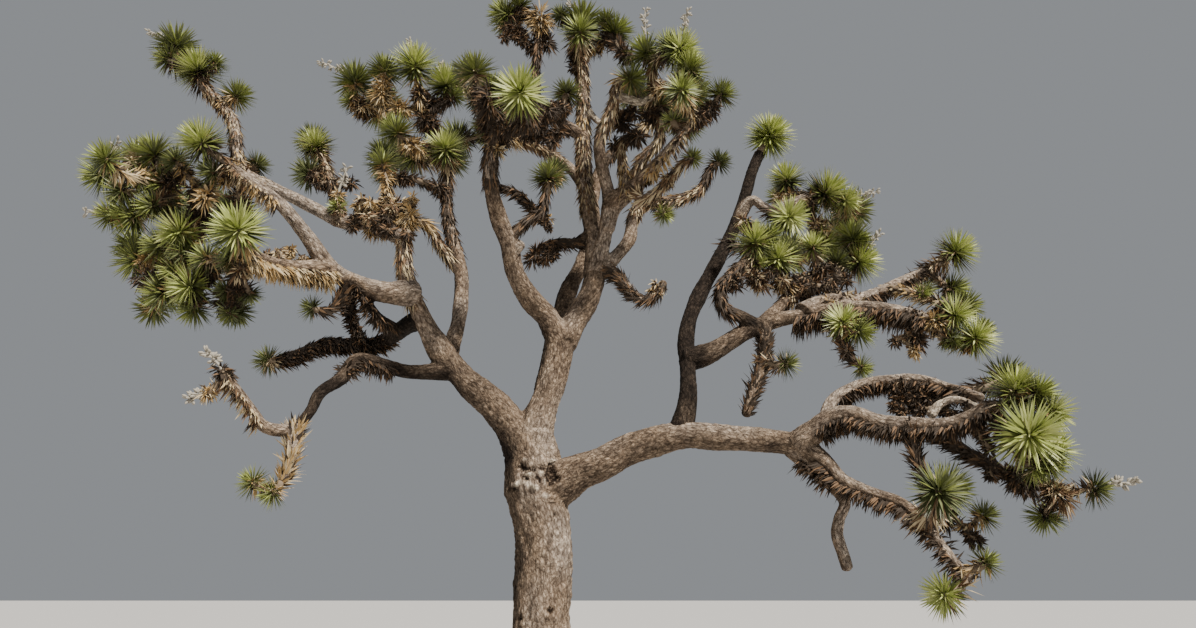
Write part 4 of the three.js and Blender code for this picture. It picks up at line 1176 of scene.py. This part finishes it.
def leaf_material(kind, colour, name):
    """One plain colour with fine fibres in its relief."""
    roughness, fibre = FINISHES[kind]
    material, tree, shader, where = new_material(name)
    shader.inputs["Base Color"].default_value = (*colour, 1.0)
    shader.inputs["Roughness"].default_value = roughness
    shader.inputs["Specular IOR Level"].default_value = 0.35
    bumped(tree, shader, [(noise(tree, where, fibre, 2.0), 0.25, 0.002)])
    return material


def tinted_materials(kind, tints):
    """One leaf material for each tint."""
    leaves = bpy.context.scene.joshua_leaves
    return [leaf_material(kind, getattr(leaves, tint), f"{kind}_{tint}") for tint in tints]


# Bark pieces

# How far each round of smoothing moves a point towards its neighbours.
SMOOTHING = 0.5
SMOOTHING_ROUNDS = 7


def voxel_shell(name, surface, voxel):
    """The closed outer shell of overlapping tubes, at an even face size and a little smoothed."""
    rough = bpy.data.objects.new(name, make_mesh(name, *surface))
    bpy.context.scene.collection.objects.link(rough)
    shell = rough.modifiers.new("shell", "REMESH")
    shell.mode = "VOXEL"
    shell.voxel_size = voxel
    shell.adaptivity = 0.0
    ease = rough.modifiers.new("ease", "SMOOTH")
    ease.factor = SMOOTHING
    ease.iterations = SMOOTHING_ROUNDS
    done = rough.evaluated_get(bpy.context.evaluated_depsgraph_get())
    mesh = bpy.data.meshes.new_from_object(done)
    bpy.data.objects.remove(rough)
    return mesh


def cut_at_ground(mesh):
    """Cuts the mesh off flat at height nought and closes the cut."""
    solid = bmesh.new()
    solid.from_mesh(mesh)
    everything = [*solid.verts, *solid.edges, *solid.faces]
    bmesh.ops.bisect_plane(solid, geom=everything, plane_co=(0, 0, 0), plane_no=(0, 0, 1), clear_inner=True)
    rim = [edge for edge in solid.edges if edge.is_boundary]
    bmesh.ops.triangle_fill(solid, edges=rim, use_beauty=True, normal=(0, 0, -1))
    solid.to_mesh(mesh)
    solid.free()


# How many points are worked out at a time.
AT_ONCE = 8000
# What a limb's place along itself is set off by from the one before, so that their patterns differ.
LIMB_OFFSET = 7.3


def nearest_axis(points, spots):
    """For each point, which of the spots lies nearest."""
    out = np.empty(len(points), int)
    for part in np.array_split(np.arange(len(points)), max(1, len(points) // AT_ONCE)):
        gap = (spots**2).sum(1)[None] - 2 * points[part] @ spots.T
        out[part] = np.argmin(gap, axis=1)
    return out


def along_limbs(points, paths, near):
    """Each point's place on a limb, from the spot on its axis named by near: two coordinates across it and
    half its distance along it, moved apart for each limb."""
    spots = np.concatenate([path for path, _ in paths])
    frames = [np.concatenate(kind) for kind in zip(*(path_frames(path) for path, _ in paths))]
    travelled = np.concatenate([lengths_along(path) + LIMB_OFFSET * k for k, (path, _) in enumerate(paths)])
    tangent, side, upper = (frame[near] for frame in frames)
    gap = points - spots[near]
    along, across, over = (np.einsum("ij,ij->i", gap, frame) for frame in (tangent, side, upper))
    return np.stack([across, over, 0.5 * (travelled[near] + along)], 1)


def spread(ends, values, rounds):
    """Values of the vertices, each round halfway to the mean of those at the other ends of their edges."""
    a, b = ends
    many = len(values)
    count = np.bincount(a, minlength=many) + np.bincount(b, minlength=many)
    for _ in range(rounds):
        around = np.bincount(a, values[b], many) + np.bincount(b, values[a], many)
        values = 0.5 * values + 0.5 * around / count
    return values


# Where branches were lost from the trunk's near side, as seen from the eye: across, up, half width and half
# height, then the depth of a hollow, which is also painted dark as shade, or of a chip of bare wood that
# stands out where it is below nought.
SCARS = (
    (-218, 2413, 32, 36, 26), (-170, 2392, 32, 22, 22), (-119, 2398, 30, 24, 22), (-37, 2410, 36, 24, 18),
    (45, 2412, 30, 44, 26), (38, 2336, 44, 70, 36), (92, 2315, 34, 32, 32), (-196, 2334, 24, 12, 16),
    (-176, 2312, 26, 13, 18), (-78, 2322, 24, 15, 18), (-52, 2292, 16, 26, 16), (-269, 2226, 40, 18, 18),
    (54, 2112, 44, 12, 12), (73, 2008, 13, 28, 12), (54, 1245, 28, 30, 18), (27, 1173, 20, 24, 12),
    (-184, 1184, 22, 26, 12), (-191, 1111, 20, 24, 10), (124, 1830, 20, 26, 8), (-120, 1520, 14, 40, 8),
    (10, 1640, 12, 46, 8), (-153, 2353, 34, 17, -22), (-232, 2281, 32, 21, -20), (-262, 2258, 28, 18, -16),
    (-176, 2281, 22, 16, -20), (-129, 2255, 27, 18, -20), (-85, 2234, 27, 18, -20),
    (-2, 2171, 26, 18, -14), (53, 2465, 27, 15, -16), (-190, 2482, 24, 12, -14), (-36, 2362, 28, 19, -12),
    (-14, 2290, 14, 26, -10),
)
# How ragged a scar's outline is: by how much and over what distance, coarse and fine.
RAGGED = ((0.14, 0.055), (0.1, 0.028))
# How far a hollow's rim stands out, where it does so and how wide it is, both in the hollow's half widths.
SCAR_LIP = 0.006
RIM = (1.4, 0.3)
# The depth in millimetres of a hollow that is painted fully dark, as shade.
DEEP_SCAR = 20
# The raised collar under the trunk's fork: its height, its slope to the right, its width and how far it
# stands out. It goes round the points within such a distance of the trunk's middle, which is that far to the
# left there.
COLLAR = (2.235, 0.12, 0.045, 0.016)
COLLAR_LEAN = 0.05
TRUNK_REACH = 0.34
# Scars reach from the near side's face back to such a depth, and so far from the axis.
SCARRED = (-0.03, 0.42)


def scars(points):
    """How far each point moves out for the scars, how much painted shade it gets for lying deep in a hollow,
    and how bare of bark. A scar fades with the distance from its middle, counted in its own half width and
    height."""
    scale = (points[:, 1] - EYE[1]) / -EYE[1]
    seen = EYE[[0, 2]] + (points[:, [0, 2]] - EYE[[0, 2]]) / scale[:, None]
    near = (points[:, 1] < SCARRED[0]) & (np.hypot(points[:, 0], points[:, 1]) < SCARRED[1])
    coarse, fine = RAGGED
    uneven = 1 + coarse[0] * ripple(points, coarse[1], 31) + fine[0] * ripple(points, fine[1], 32)
    out, hollow, bare = np.zeros((3, len(points)))
    for across, up, wide, high, depth in SCARS:
        gap = np.hypot(*((seen - np.array([across, up]) * MM) / (np.array([wide, high]) * MM)).T) * uneven
        inside = near * np.exp(-(gap**2.6))
        out -= MM * depth * inside
        if depth > 0:
            out += SCAR_LIP * near * np.exp(-(((gap - RIM[0]) / RIM[1]) ** 2))
            # Painted shade in a hollow, darker the deeper it is.
            hollow += 1.8 * min(1.0, depth / DEEP_SCAR) * near * np.exp(-(gap**3) * 0.8)
        else:
            bare += near * np.exp(-((0.85 * gap) ** 4))
    up, slope, wide, high = COLLAR
    ring = np.exp(-(((points[:, 2] - up - slope * points[:, 0]) / wide) ** 2))
    out += high * ring * (np.hypot(points[:, 0] + COLLAR_LEAN, points[:, 1]) < TRUNK_REACH)
    return out, np.clip(hollow, 0, 1), np.clip(bare, 0, 1)


def vertex_values(mesh, values, name):
    """Three numbers for each vertex, read from a collection of the mesh."""
    out = np.empty(3 * len(mesh.vertices), np.float32)
    values.foreach_get(name, out)
    return out.reshape(-1, 3).astype(float)


def whole_numbers(values, name, each):
    """Whole numbers read from a collection of a mesh, so many for each member."""
    out = np.empty(each * len(values), np.int32)
    values.foreach_get(name, out)
    return out


def keep(mesh, name, kind, domain, field, values):
    """Keeps values on the mesh for the material to read."""
    layer = mesh.attributes.new(name, kind, domain)
    layer.data.foreach_set(field, values.astype(np.float32).ravel())


def keep_grain(mesh, points, paths, near, limb):
    """For each corner of a face, where it is along a limb: its own, or else that of the face's first corner,
    so that no face is drawn out between two limbs."""
    corners = whole_numbers(mesh.loops, "vertex_index", 1)
    starts = whole_numbers(mesh.polygons, "loop_start", 1)
    first = near[corners[np.repeat(starts, whole_numbers(mesh.polygons, "loop_total", 1))]]
    chosen = np.where(limb[near[corners]] == limb[first], near[corners], first)
    keep(mesh, "grain", "FLOAT_VECTOR", "CORNER", "vector", along_limbs(points[corners], paths, chosen))


# The share in a point's weathering of its limb, of chance and over what distance, of how far it faces up,
# partly as painted light, of how far it faces left past such a slope, as painted shade, and of the lack of
# bark.
LIMB_SHARE = 0.42
CHANCE_SHARE = (0.13, 0.5)
TOP_BLEACH_AND_LIGHT_SHARE = 0.12
PAINTED_SHADE_SHARE = (0.8, 0.5)
BARE_SHARE = 0.5
# How weathered bark can be at most, except on a limb that is bleached all over.
BLEACHED = 0.85


def bleaching_and_shade(points, normals, worn_and_shaded, bare):
    """How weathered each point is, from 0 to 1: as its limb is, paler on top, partly sun-bleaching and
    partly painted light, darker on the left as painted shade, and most where the bark is gone."""
    out = 0.5 + LIMB_SHARE * worn_and_shaded + CHANCE_SHARE[0] * ripple(points, CHANCE_SHARE[1], 21)
    # Paler where the bark faces up: partly sun-bleaching, partly painted light.
    out = out + TOP_BLEACH_AND_LIGHT_SHARE * np.clip(normals[:, 2], -0.5, 1)
    # Darker where the bark faces left: painted shade.
    out += PAINTED_SHADE_SHARE[0] * np.minimum(0, normals[:, 0] + PAINTED_SHADE_SHARE[1])
    out = np.clip(out, 0, np.where(worn_and_shaded > 1, 1.0, BLEACHED)) + BARE_SHARE * bare
    return np.clip(out, 0, 1)


# A bark plate's width in the relief, against its width in the colours, how wide a seam's slope is, and how
# far and over what distance seams wander.
RELIEF_PLATE = 1.35
SEAM_SLOPE = 0.5
WANDER = (0.014, 0.09)
# The radius of a limb with the full depth of seams, and the least and largest share of it.
DEEP_RADIUS = 0.2
DEPTH_SHARES = (0.3, 1.0)
# Wide lumps and then small ones: how high as shares of the radius, and how far apart.
LUMPS = ((0.06, 0.45), (0.05, 0.13))
# The level of a plate that stays where it is, how much of the relief stays the same and how much varies, and
# over what distance.
PLATE_LEVEL = 0.6
RELIEF_SHARES = (0.65, 0.35)
RELIEF_WAVE = 0.12
# How dark the deepest seam is painted, as shade, beside a hollow's painted shade, and the height under which
# points are set on the ground.
SEAM_PAINTED_SHADE = 0.45
GROUNDED = 0.004
# Rounds of spreading for where limbs meet, the relief there, the scars and the weathering.
BORDER_ROUNDS = 4
EVEN_ROUNDS = 12
SCAR_ROUNDS = 2
WORN_ROUNDS = 60


def add_relief(mesh, paths, weather_and_shade):
    """Moves each point out along its normal by lumps, less the seams between plates, evened out where limbs
    meet, and then by the scars. Keeps for the material each point's painted shade for lying deep in seams
    and hollows, how weathered it is with painted light and shade, and, for each corner of a face, where it
    is along the face's limb."""
    settings = bpy.context.scene.joshua_bark
    points = vertex_values(mesh, mesh.vertices, "co")
    normals = vertex_values(mesh, mesh.vertex_normals, "vector")
    ends = whole_numbers(mesh.edges, "vertices", 2).reshape(-1, 2).T
    near = nearest_axis(points, np.concatenate([path for path, _ in paths]))
    limb = np.repeat(np.arange(len(paths)), [len(path) for path, _ in paths])
    radius = np.concatenate([radius for _, radius in paths])[near]
    grain = along_limbs(points, paths, near)
    border = np.zeros(len(points))
    border[ends[:, limb[near[ends[0]]] != limb[near[ends[1]]]]] = 1.0
    border = np.clip(3 * spread(ends, border, BORDER_ROUNDS), 0, 1)
    bent = grain + WANDER[0] * np.stack([ripple(grain, WANDER[1], k) for k in range(3)], 1)
    relief = np.clip(plates(bent, settings.plate_size * RELIEF_PLATE, 3) / SEAM_SLOPE, 0, 1)
    depth = settings.plate_depth * np.clip(radius / DEEP_RADIUS, *DEPTH_SHARES)
    wide, small = LUMPS
    lumps = wide[0] * radius * ripple(points, wide[1], 11) + small[0] * radius * ripple(grain, small[1], 12)
    moved, hollow, bare = scars(points)
    varied = RELIEF_SHARES[0] + RELIEF_SHARES[1] * ripple(points, RELIEF_WAVE, 17)
    out = lumps + depth * (relief - PLATE_LEVEL) * varied
    out += border * (spread(ends, out, EVEN_ROUNDS) - out) + spread(ends, moved, SCAR_ROUNDS)
    placed = points + normals * out[:, None]
    placed[:, 2] = np.where(points[:, 2] < GROUNDED, 0.0, np.maximum(placed[:, 2], 0.0))
    mesh.vertices.foreach_set("co", placed.astype(np.float32).ravel())
    worn_and_shaded = spread(ends, weather_and_shade[near], WORN_ROUNDS)
    # How dark each point is painted, as shade, for lying deep in a seam or a hollow.
    keep(mesh, "seam", "FLOAT", "POINT", "value", np.maximum(SEAM_PAINTED_SHADE * (1 - relief), hollow))
    keep(mesh, "weather_and_shade", "FLOAT", "POINT", "value", bleaching_and_shade(points, normals, worn_and_shaded, bare))
    keep_grain(mesh, points, paths, near, limb)
    mesh.polygons.foreach_set("use_smooth", np.full(len(mesh.polygons), True))
    mesh.update()


def bark_piece(name, members, surfaces, paths, voxel):
    """One piece of bark with relief: the shell of its limbs, and of the trunk's surface if that is given."""
    tubes = [tube(*skeleton()[member], LIMB_SIDES) for member in members]
    axes = [skeleton()[member] for member in members] + paths
    # Each limb's weathering from end to end, with its painted shade.
    ends = [np.broadcast_to(WEATHER_AND_SHADE.get(member, 0.0), 2) for member in members]
    weather_and_shade = [np.linspace(*pair, len(path)) for pair, (path, _) in zip(ends, axes)]
    weather_and_shade += [np.full(len(path), WEATHER_AND_SHADE["trunk"]) for path, _ in paths]
    mesh = voxel_shell(name, joined(tubes + surfaces), voxel)
    if surfaces:
        cut_at_ground(mesh)
    add_relief(mesh, axes, np.concatenate(weather_and_shade))
    nodes = [member for member in members if member in LIMBS] + (["trunk"] if surfaces else [])
    return add_piece(name, mesh, [bark_material()], nodes)


class JOSHUA_OT_trunk(Operator):
    """Makes the trunk with its root flare, and the main boughs that it forks into"""

    bl_idname = "joshua.trunk"
    bl_label = "Trunk and boughs"

    def execute(self, context):
        settings = context.scene.joshua_bark
        points, _ = place(TRUNK_STATIONS)
        path = smooth_path(points, TRUNK_PATH_STEP)
        height = np.maximum(path[:, 2], -BURIED)
        plain = settings.trunk_radius * np.interp(height, *TRUNK_SWELL)
        radii = plain + settings.root_flare * np.exp(-height / FLARE_FADE)
        surface = tube(path, radii, TRUNK_SIDES, trunk_lobes)
        name = "bark_trunk_and_boughs"
        bark_piece(name, BARK_GROUPS[name], [surface], [(path, radii)], settings.trunk_voxel)
        return {"FINISHED"}


class JOSHUA_OT_limbs(Operator):
    """Makes the bark of the left, middle and right limbs"""

    bl_idname = "joshua.limbs"
    bl_label = "Limbs"

    def execute(self, context):
        for name, members in list(BARK_GROUPS.items())[1:]:
            bark_piece(name, members, [], [], context.scene.joshua_bark.limb_voxel)
        return {"FINISHED"}


class JOSHUA_OT_twigs(Operator):
    """Makes the short branches that bear the leaf heads"""

    bl_idname = "joshua.twigs"
    bl_label = "Twigs"

    def execute(self, context):
        material = leaf_material("twig_bark", context.scene.joshua_bark.twig_colour, "twig_bark")
        surfaces = [tube(path, radii, TWIG_SIDES) for _, _, _, _, path, radii in grown_heads()]
        mesh = make_mesh("twigs", *joined(surfaces), smooth=True)
        add_piece("twigs", mesh, [material])
        return {"FINISHED"}


# Where each part of the crown ends to the right.
PARTS = {"left": -1.75, "middle_left": -0.15, "middle_right": 1.6, "right": 2.6, "far_right": np.inf}


def side_of(centre):
    """Which part of the crown a point is in."""
    return next(side for side, end in PARTS.items() if centre[0] < end)


def mass_nodes(side):
    """The masses of foliage whose middles lie in that part."""
    masses = [name for name in frame["nodes"] if name.endswith("_mass")]
    return [name for name in masses if side_of(np.mean(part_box(name), axis=0)) == side]


def add_leaves(kind, parts, materials, nodes_of):
    """One piece of leaves for each part of the crown, from its sprays, and the nodes that it stands for."""
    for side, found in parts.items():
        points, triangles, tints = sprays(found)
        mesh = make_mesh(f"{kind}_{side}", points, triangles, tints)
        add_piece(f"{kind}_{side}", mesh, materials, nodes_of(side))


class JOSHUA_OT_green_leaves(Operator):
    """Makes the rosettes of green leaves"""

    bl_idname = "joshua.green_leaves"
    bl_label = "Green leaves"

    def execute(self, context):
        rng = np.random.default_rng(context.scene.joshua_leaves.seed + 1)
        parts = {side: [] for side in PARTS}
        for centre, axis, radius, kind, _, _ in grown_heads():
            if kind not in DRY_KINDS:
                parts[side_of(centre)].append(rosette(centre, axis, radius, kind, rng))
        add_leaves("green_leaves", parts, tinted_materials("leaf", GREEN_TINTS), mass_nodes)
        return {"FINISHED"}


# How long a skirt is under a head of the usual radius, and the angles and lengths of its leaves.
SKIRT_LENGTH = 0.5
USUAL_RADIUS = 0.22
SKIRT_ANGLES = (80, 22)
SKIRT_LENGTHS = (0.45, 0.85)
# The same for sleeves, all round a limb or only under it, and the length of a run with one pair of tints.
SLEEVE_ANGLES = (27, 19)
UNDERSIDE_ANGLES = (84, 74)
SLEEVE_LENGTHS = (0.45, 1.0)
SLEEVE_RUN = 0.25
# How often a spray strays to a neighbouring darkness, the draw up to which its leaves have its first tint,
# and the draw above which any leaf is as dark as can be.
STRAYS = (0.35, 0.35, 0.0)
FIRST_TINT = (0.45, 0.4, 0.25)
DARKEST_TINT = 0.8


def skirts(rng):
    """The dead leaves of the heads, each as (centre, arrays, darkness): a ball of them for a head that is
    dry, and a skirt of them down the twig that bears it for all but a bald one."""
    settings = bpy.context.scene.joshua_leaves
    for centre, axis, radius, kind, path, radii in grown_heads():
        # A dark head's leaves get the darkest tints: old leaves, and painted shade.
        darkness = {"dead": int(rng.random() < 0.4), "dark": 2}.get(kind, int(rng.integers(0, 3)))
        if kind in DRY_KINDS:
            yield centre, dead_ball(centre, axis, radius, rng), darkness
        if kind != "bald":
            reach = min(len(path), int(SKIRT_LENGTH * radius / USUAL_RADIUS / TWIG_STEP) + 3)
            down, wide = path[-reach:], radii[-reach:]
            sizes = [share * radius for share in SKIRT_LENGTHS]
            beard = hanging_leaves(down, wide, settings.skirt_leaves, SKIRT_ANGLES, sizes, False, rng)
            yield centre, beard, darkness


def sleeves(rng):
    """The dead leaves that stretches of limb still carry, a run at a time, as (centre, arrays, darkness)."""
    for name, (start, stop, density, longest, underside, darkness) in SHAGGY.items():
        path, radii = skeleton()[name]
        cut = slice(int(start * (len(path) - 1)), int(stop * (len(path) - 1)) + 1)
        stretch, wide = path[cut], radii[cut]
        angles = UNDERSIDE_ANGLES if underside else SLEEVE_ANGLES
        sizes = [share * longest * MM for share in SLEEVE_LENGTHS]
        count = max(1, int(lengths_along(stretch)[-1] / SLEEVE_RUN))
        for run in np.array_split(np.arange(len(stretch)), count):
            run = np.arange(run[0], min(run[-1] + 2, len(stretch)))
            if len(run) > 1:
                leaves = hanging_leaves(stretch[run], wide[run], density, angles, sizes, underside, rng)
                yield stretch[run[0]], leaves, darkness


def dead_tints(count, darkness, rng):
    """Tints for a spray's leaves: two neighbouring ones, the darker ones for old leaves and as painted
    shade, and the darkest.
    """
    stray = rng.integers(-1, 2) * (rng.random() < STRAYS[darkness])
    first = int(np.clip(darkness + stray, 0, len(DEAD_TINTS) - 2))
    draw = rng.random(count)
    return np.where(draw > DARKEST_TINT, len(DEAD_TINTS) - 1, first + (draw > FIRST_TINT[first]))


class JOSHUA_OT_dead_leaves(Operator):
    """Makes the skirts, tufts and shaggy sleeves of dead leaves"""

    bl_idname = "joshua.dead_leaves"
    bl_label = "Dead leaves"

    def execute(self, context):
        rng = np.random.default_rng(context.scene.joshua_leaves.seed + 2)
        parts = {side: [] for side in PARTS}
        for centre, arrays, darkness in chain(skirts(rng), sleeves(rng)):
            parts[side_of(centre)].append((arrays, dead_tints(len(arrays[0]), darkness, rng)))
        add_leaves("dead_leaves", parts, tinted_materials("dead", DEAD_TINTS), lambda side: ())
        return {"FINISHED"}


class JOSHUA_OT_flower_stalks(Operator):
    """Makes the dried flower stalks that stand out of some heads"""

    bl_idname = "joshua.flower_stalks"
    bl_label = "Flower stalks"

    def execute(self, context):
        settings = context.scene.joshua_leaves
        rng = np.random.default_rng(settings.seed + 3)
        centres = np.array([head[0] for head in grown_heads()])
        surfaces = []
        for ends in FLOWER_STALKS:
            (start, tip), _ = place(ends)
            start = centres[np.argmin(np.linalg.norm(centres - start, axis=1))]
            straight = unit(tip - start)
            path = joint_curve(start, UP * 0.5 + straight * 0.5, tip, straight, STALK_POINTS)
            surfaces.append(tube(path, np.linspace(*STALK_RADII, STALK_POINTS), STALK_SIDES))
            for spot in np.repeat(path[BARE_POINTS:], PODS_AT_ONCE, axis=0):
                out = unit(rng.normal(0, 1, 3) + straight * 0.5)
                surfaces.append(tube(spot + out * POD_RINGS[:, None], POD_RADII, POD_SIDES))
        material = leaf_material("dry_stalk", settings.stalk, "dry_stalk")
        mesh = make_mesh("flower_stalks", *joined(surfaces), smooth=True)
        add_piece("flower_stalks", mesh, [material])
        return {"FINISHED"}


class JOSHUA_OT_stage(Operator):
    """Makes the pale floor, the soft light and the camera"""

    bl_idname = "joshua.stage"
    bl_label = "Stage"

    def execute(self, context):
        settings = context.scene.joshua_stage
        half = settings.floor_size / 2
        corners = np.array([(-half, -half, 0), (half, -half, 0), (half, half, 0), (-half, half, 0)])
        mesh = make_mesh("floor", corners, np.array([(0, 1, 2), (0, 2, 3)]))
        floor = bpy.data.objects.new("floor", mesh)
        context.scene.collection.objects.link(floor)
        material, _, shader, _ = new_material("floor")
        shader.inputs["Base Color"].default_value = (*settings.floor_colour, 1.0)
        shader.inputs["Roughness"].default_value = 0.9
        mesh.materials.append(material)
        floor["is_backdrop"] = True

        world = bpy.data.worlds.new("studio")
        world.use_nodes = True
        backdrop = world.node_tree.nodes["Background"]
        backdrop.inputs["Color"].default_value = (*settings.fill_colour, 1.0)
        backdrop.inputs["Strength"].default_value = settings.fill_power
        context.scene.world = world

        key = bpy.data.lights.new("key", "SUN")
        key.energy = settings.key_power
        key.angle = settings.key_width
        key.color = settings.key_colour
        lamp = bpy.data.objects.new("key", key)
        lamp.rotation_euler = (settings.key_tilt, 0.0, settings.key_turn)
        context.scene.collection.objects.link(lamp)

        camera = bpy.data.cameras.new("camera")
        camera.lens = LENS
        camera.sensor_width = SENSOR
        camera.clip_end = 500.0
        viewer = bpy.data.objects.new("camera", camera)
        viewer.location = tuple(EYE)
        viewer.rotation_euler = (np.pi / 2 + EYE_PITCH, 0.0, 0.0)
        context.scene.collection.objects.link(viewer)
        context.scene.camera = viewer
        return {"FINISHED"}


STEPS = (
    JOSHUA_OT_stage,
    JOSHUA_OT_trunk,
    JOSHUA_OT_limbs,
    JOSHUA_OT_twigs,
    JOSHUA_OT_green_leaves,
    JOSHUA_OT_dead_leaves,
    JOSHUA_OT_flower_stalks,
)


class JOSHUA_PT_panel(Panel):
    """Lists the tree's pieces in the order in which they are made"""

    bl_label = "Joshua Tree"
    bl_idname = "JOSHUA_PT_panel"
    bl_space_type = "VIEW_3D"
    bl_region_type = "UI"
    bl_category = "Joshua Tree"

    def draw(self, context):
        for step in STEPS:
            self.layout.operator(step.bl_idname)


SETTINGS = {"joshua_bark": BarkSettings, "joshua_leaves": LeafSettings, "joshua_stage": StageSettings}


def register():
    """Registers the settings, the steps and the panel."""
    for cls in (*SETTINGS.values(), *STEPS, JOSHUA_PT_panel):
        bpy.utils.register_class(cls)
    for name, cls in SETTINGS.items():
        setattr(bpy.types.Scene, name, PointerProperty(type=cls))


def unregister():
    """Takes them off again."""
    for name in SETTINGS:
        delattr(bpy.types.Scene, name)
    for cls in reversed((*SETTINGS.values(), *STEPS, JOSHUA_PT_panel)):
        bpy.utils.unregister_class(cls)


def main():
    register()
    for step in STEPS:
        area, name = step.bl_idname.split(".")
        getattr(getattr(bpy.ops, area), name)()
    boxes = {"cad": CAD_BOX, "visual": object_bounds()}
    {key: [[float(v) for v in corner] for corner in box] for key, box in boxes.items()}


if __name__ == "__main__":
    main()
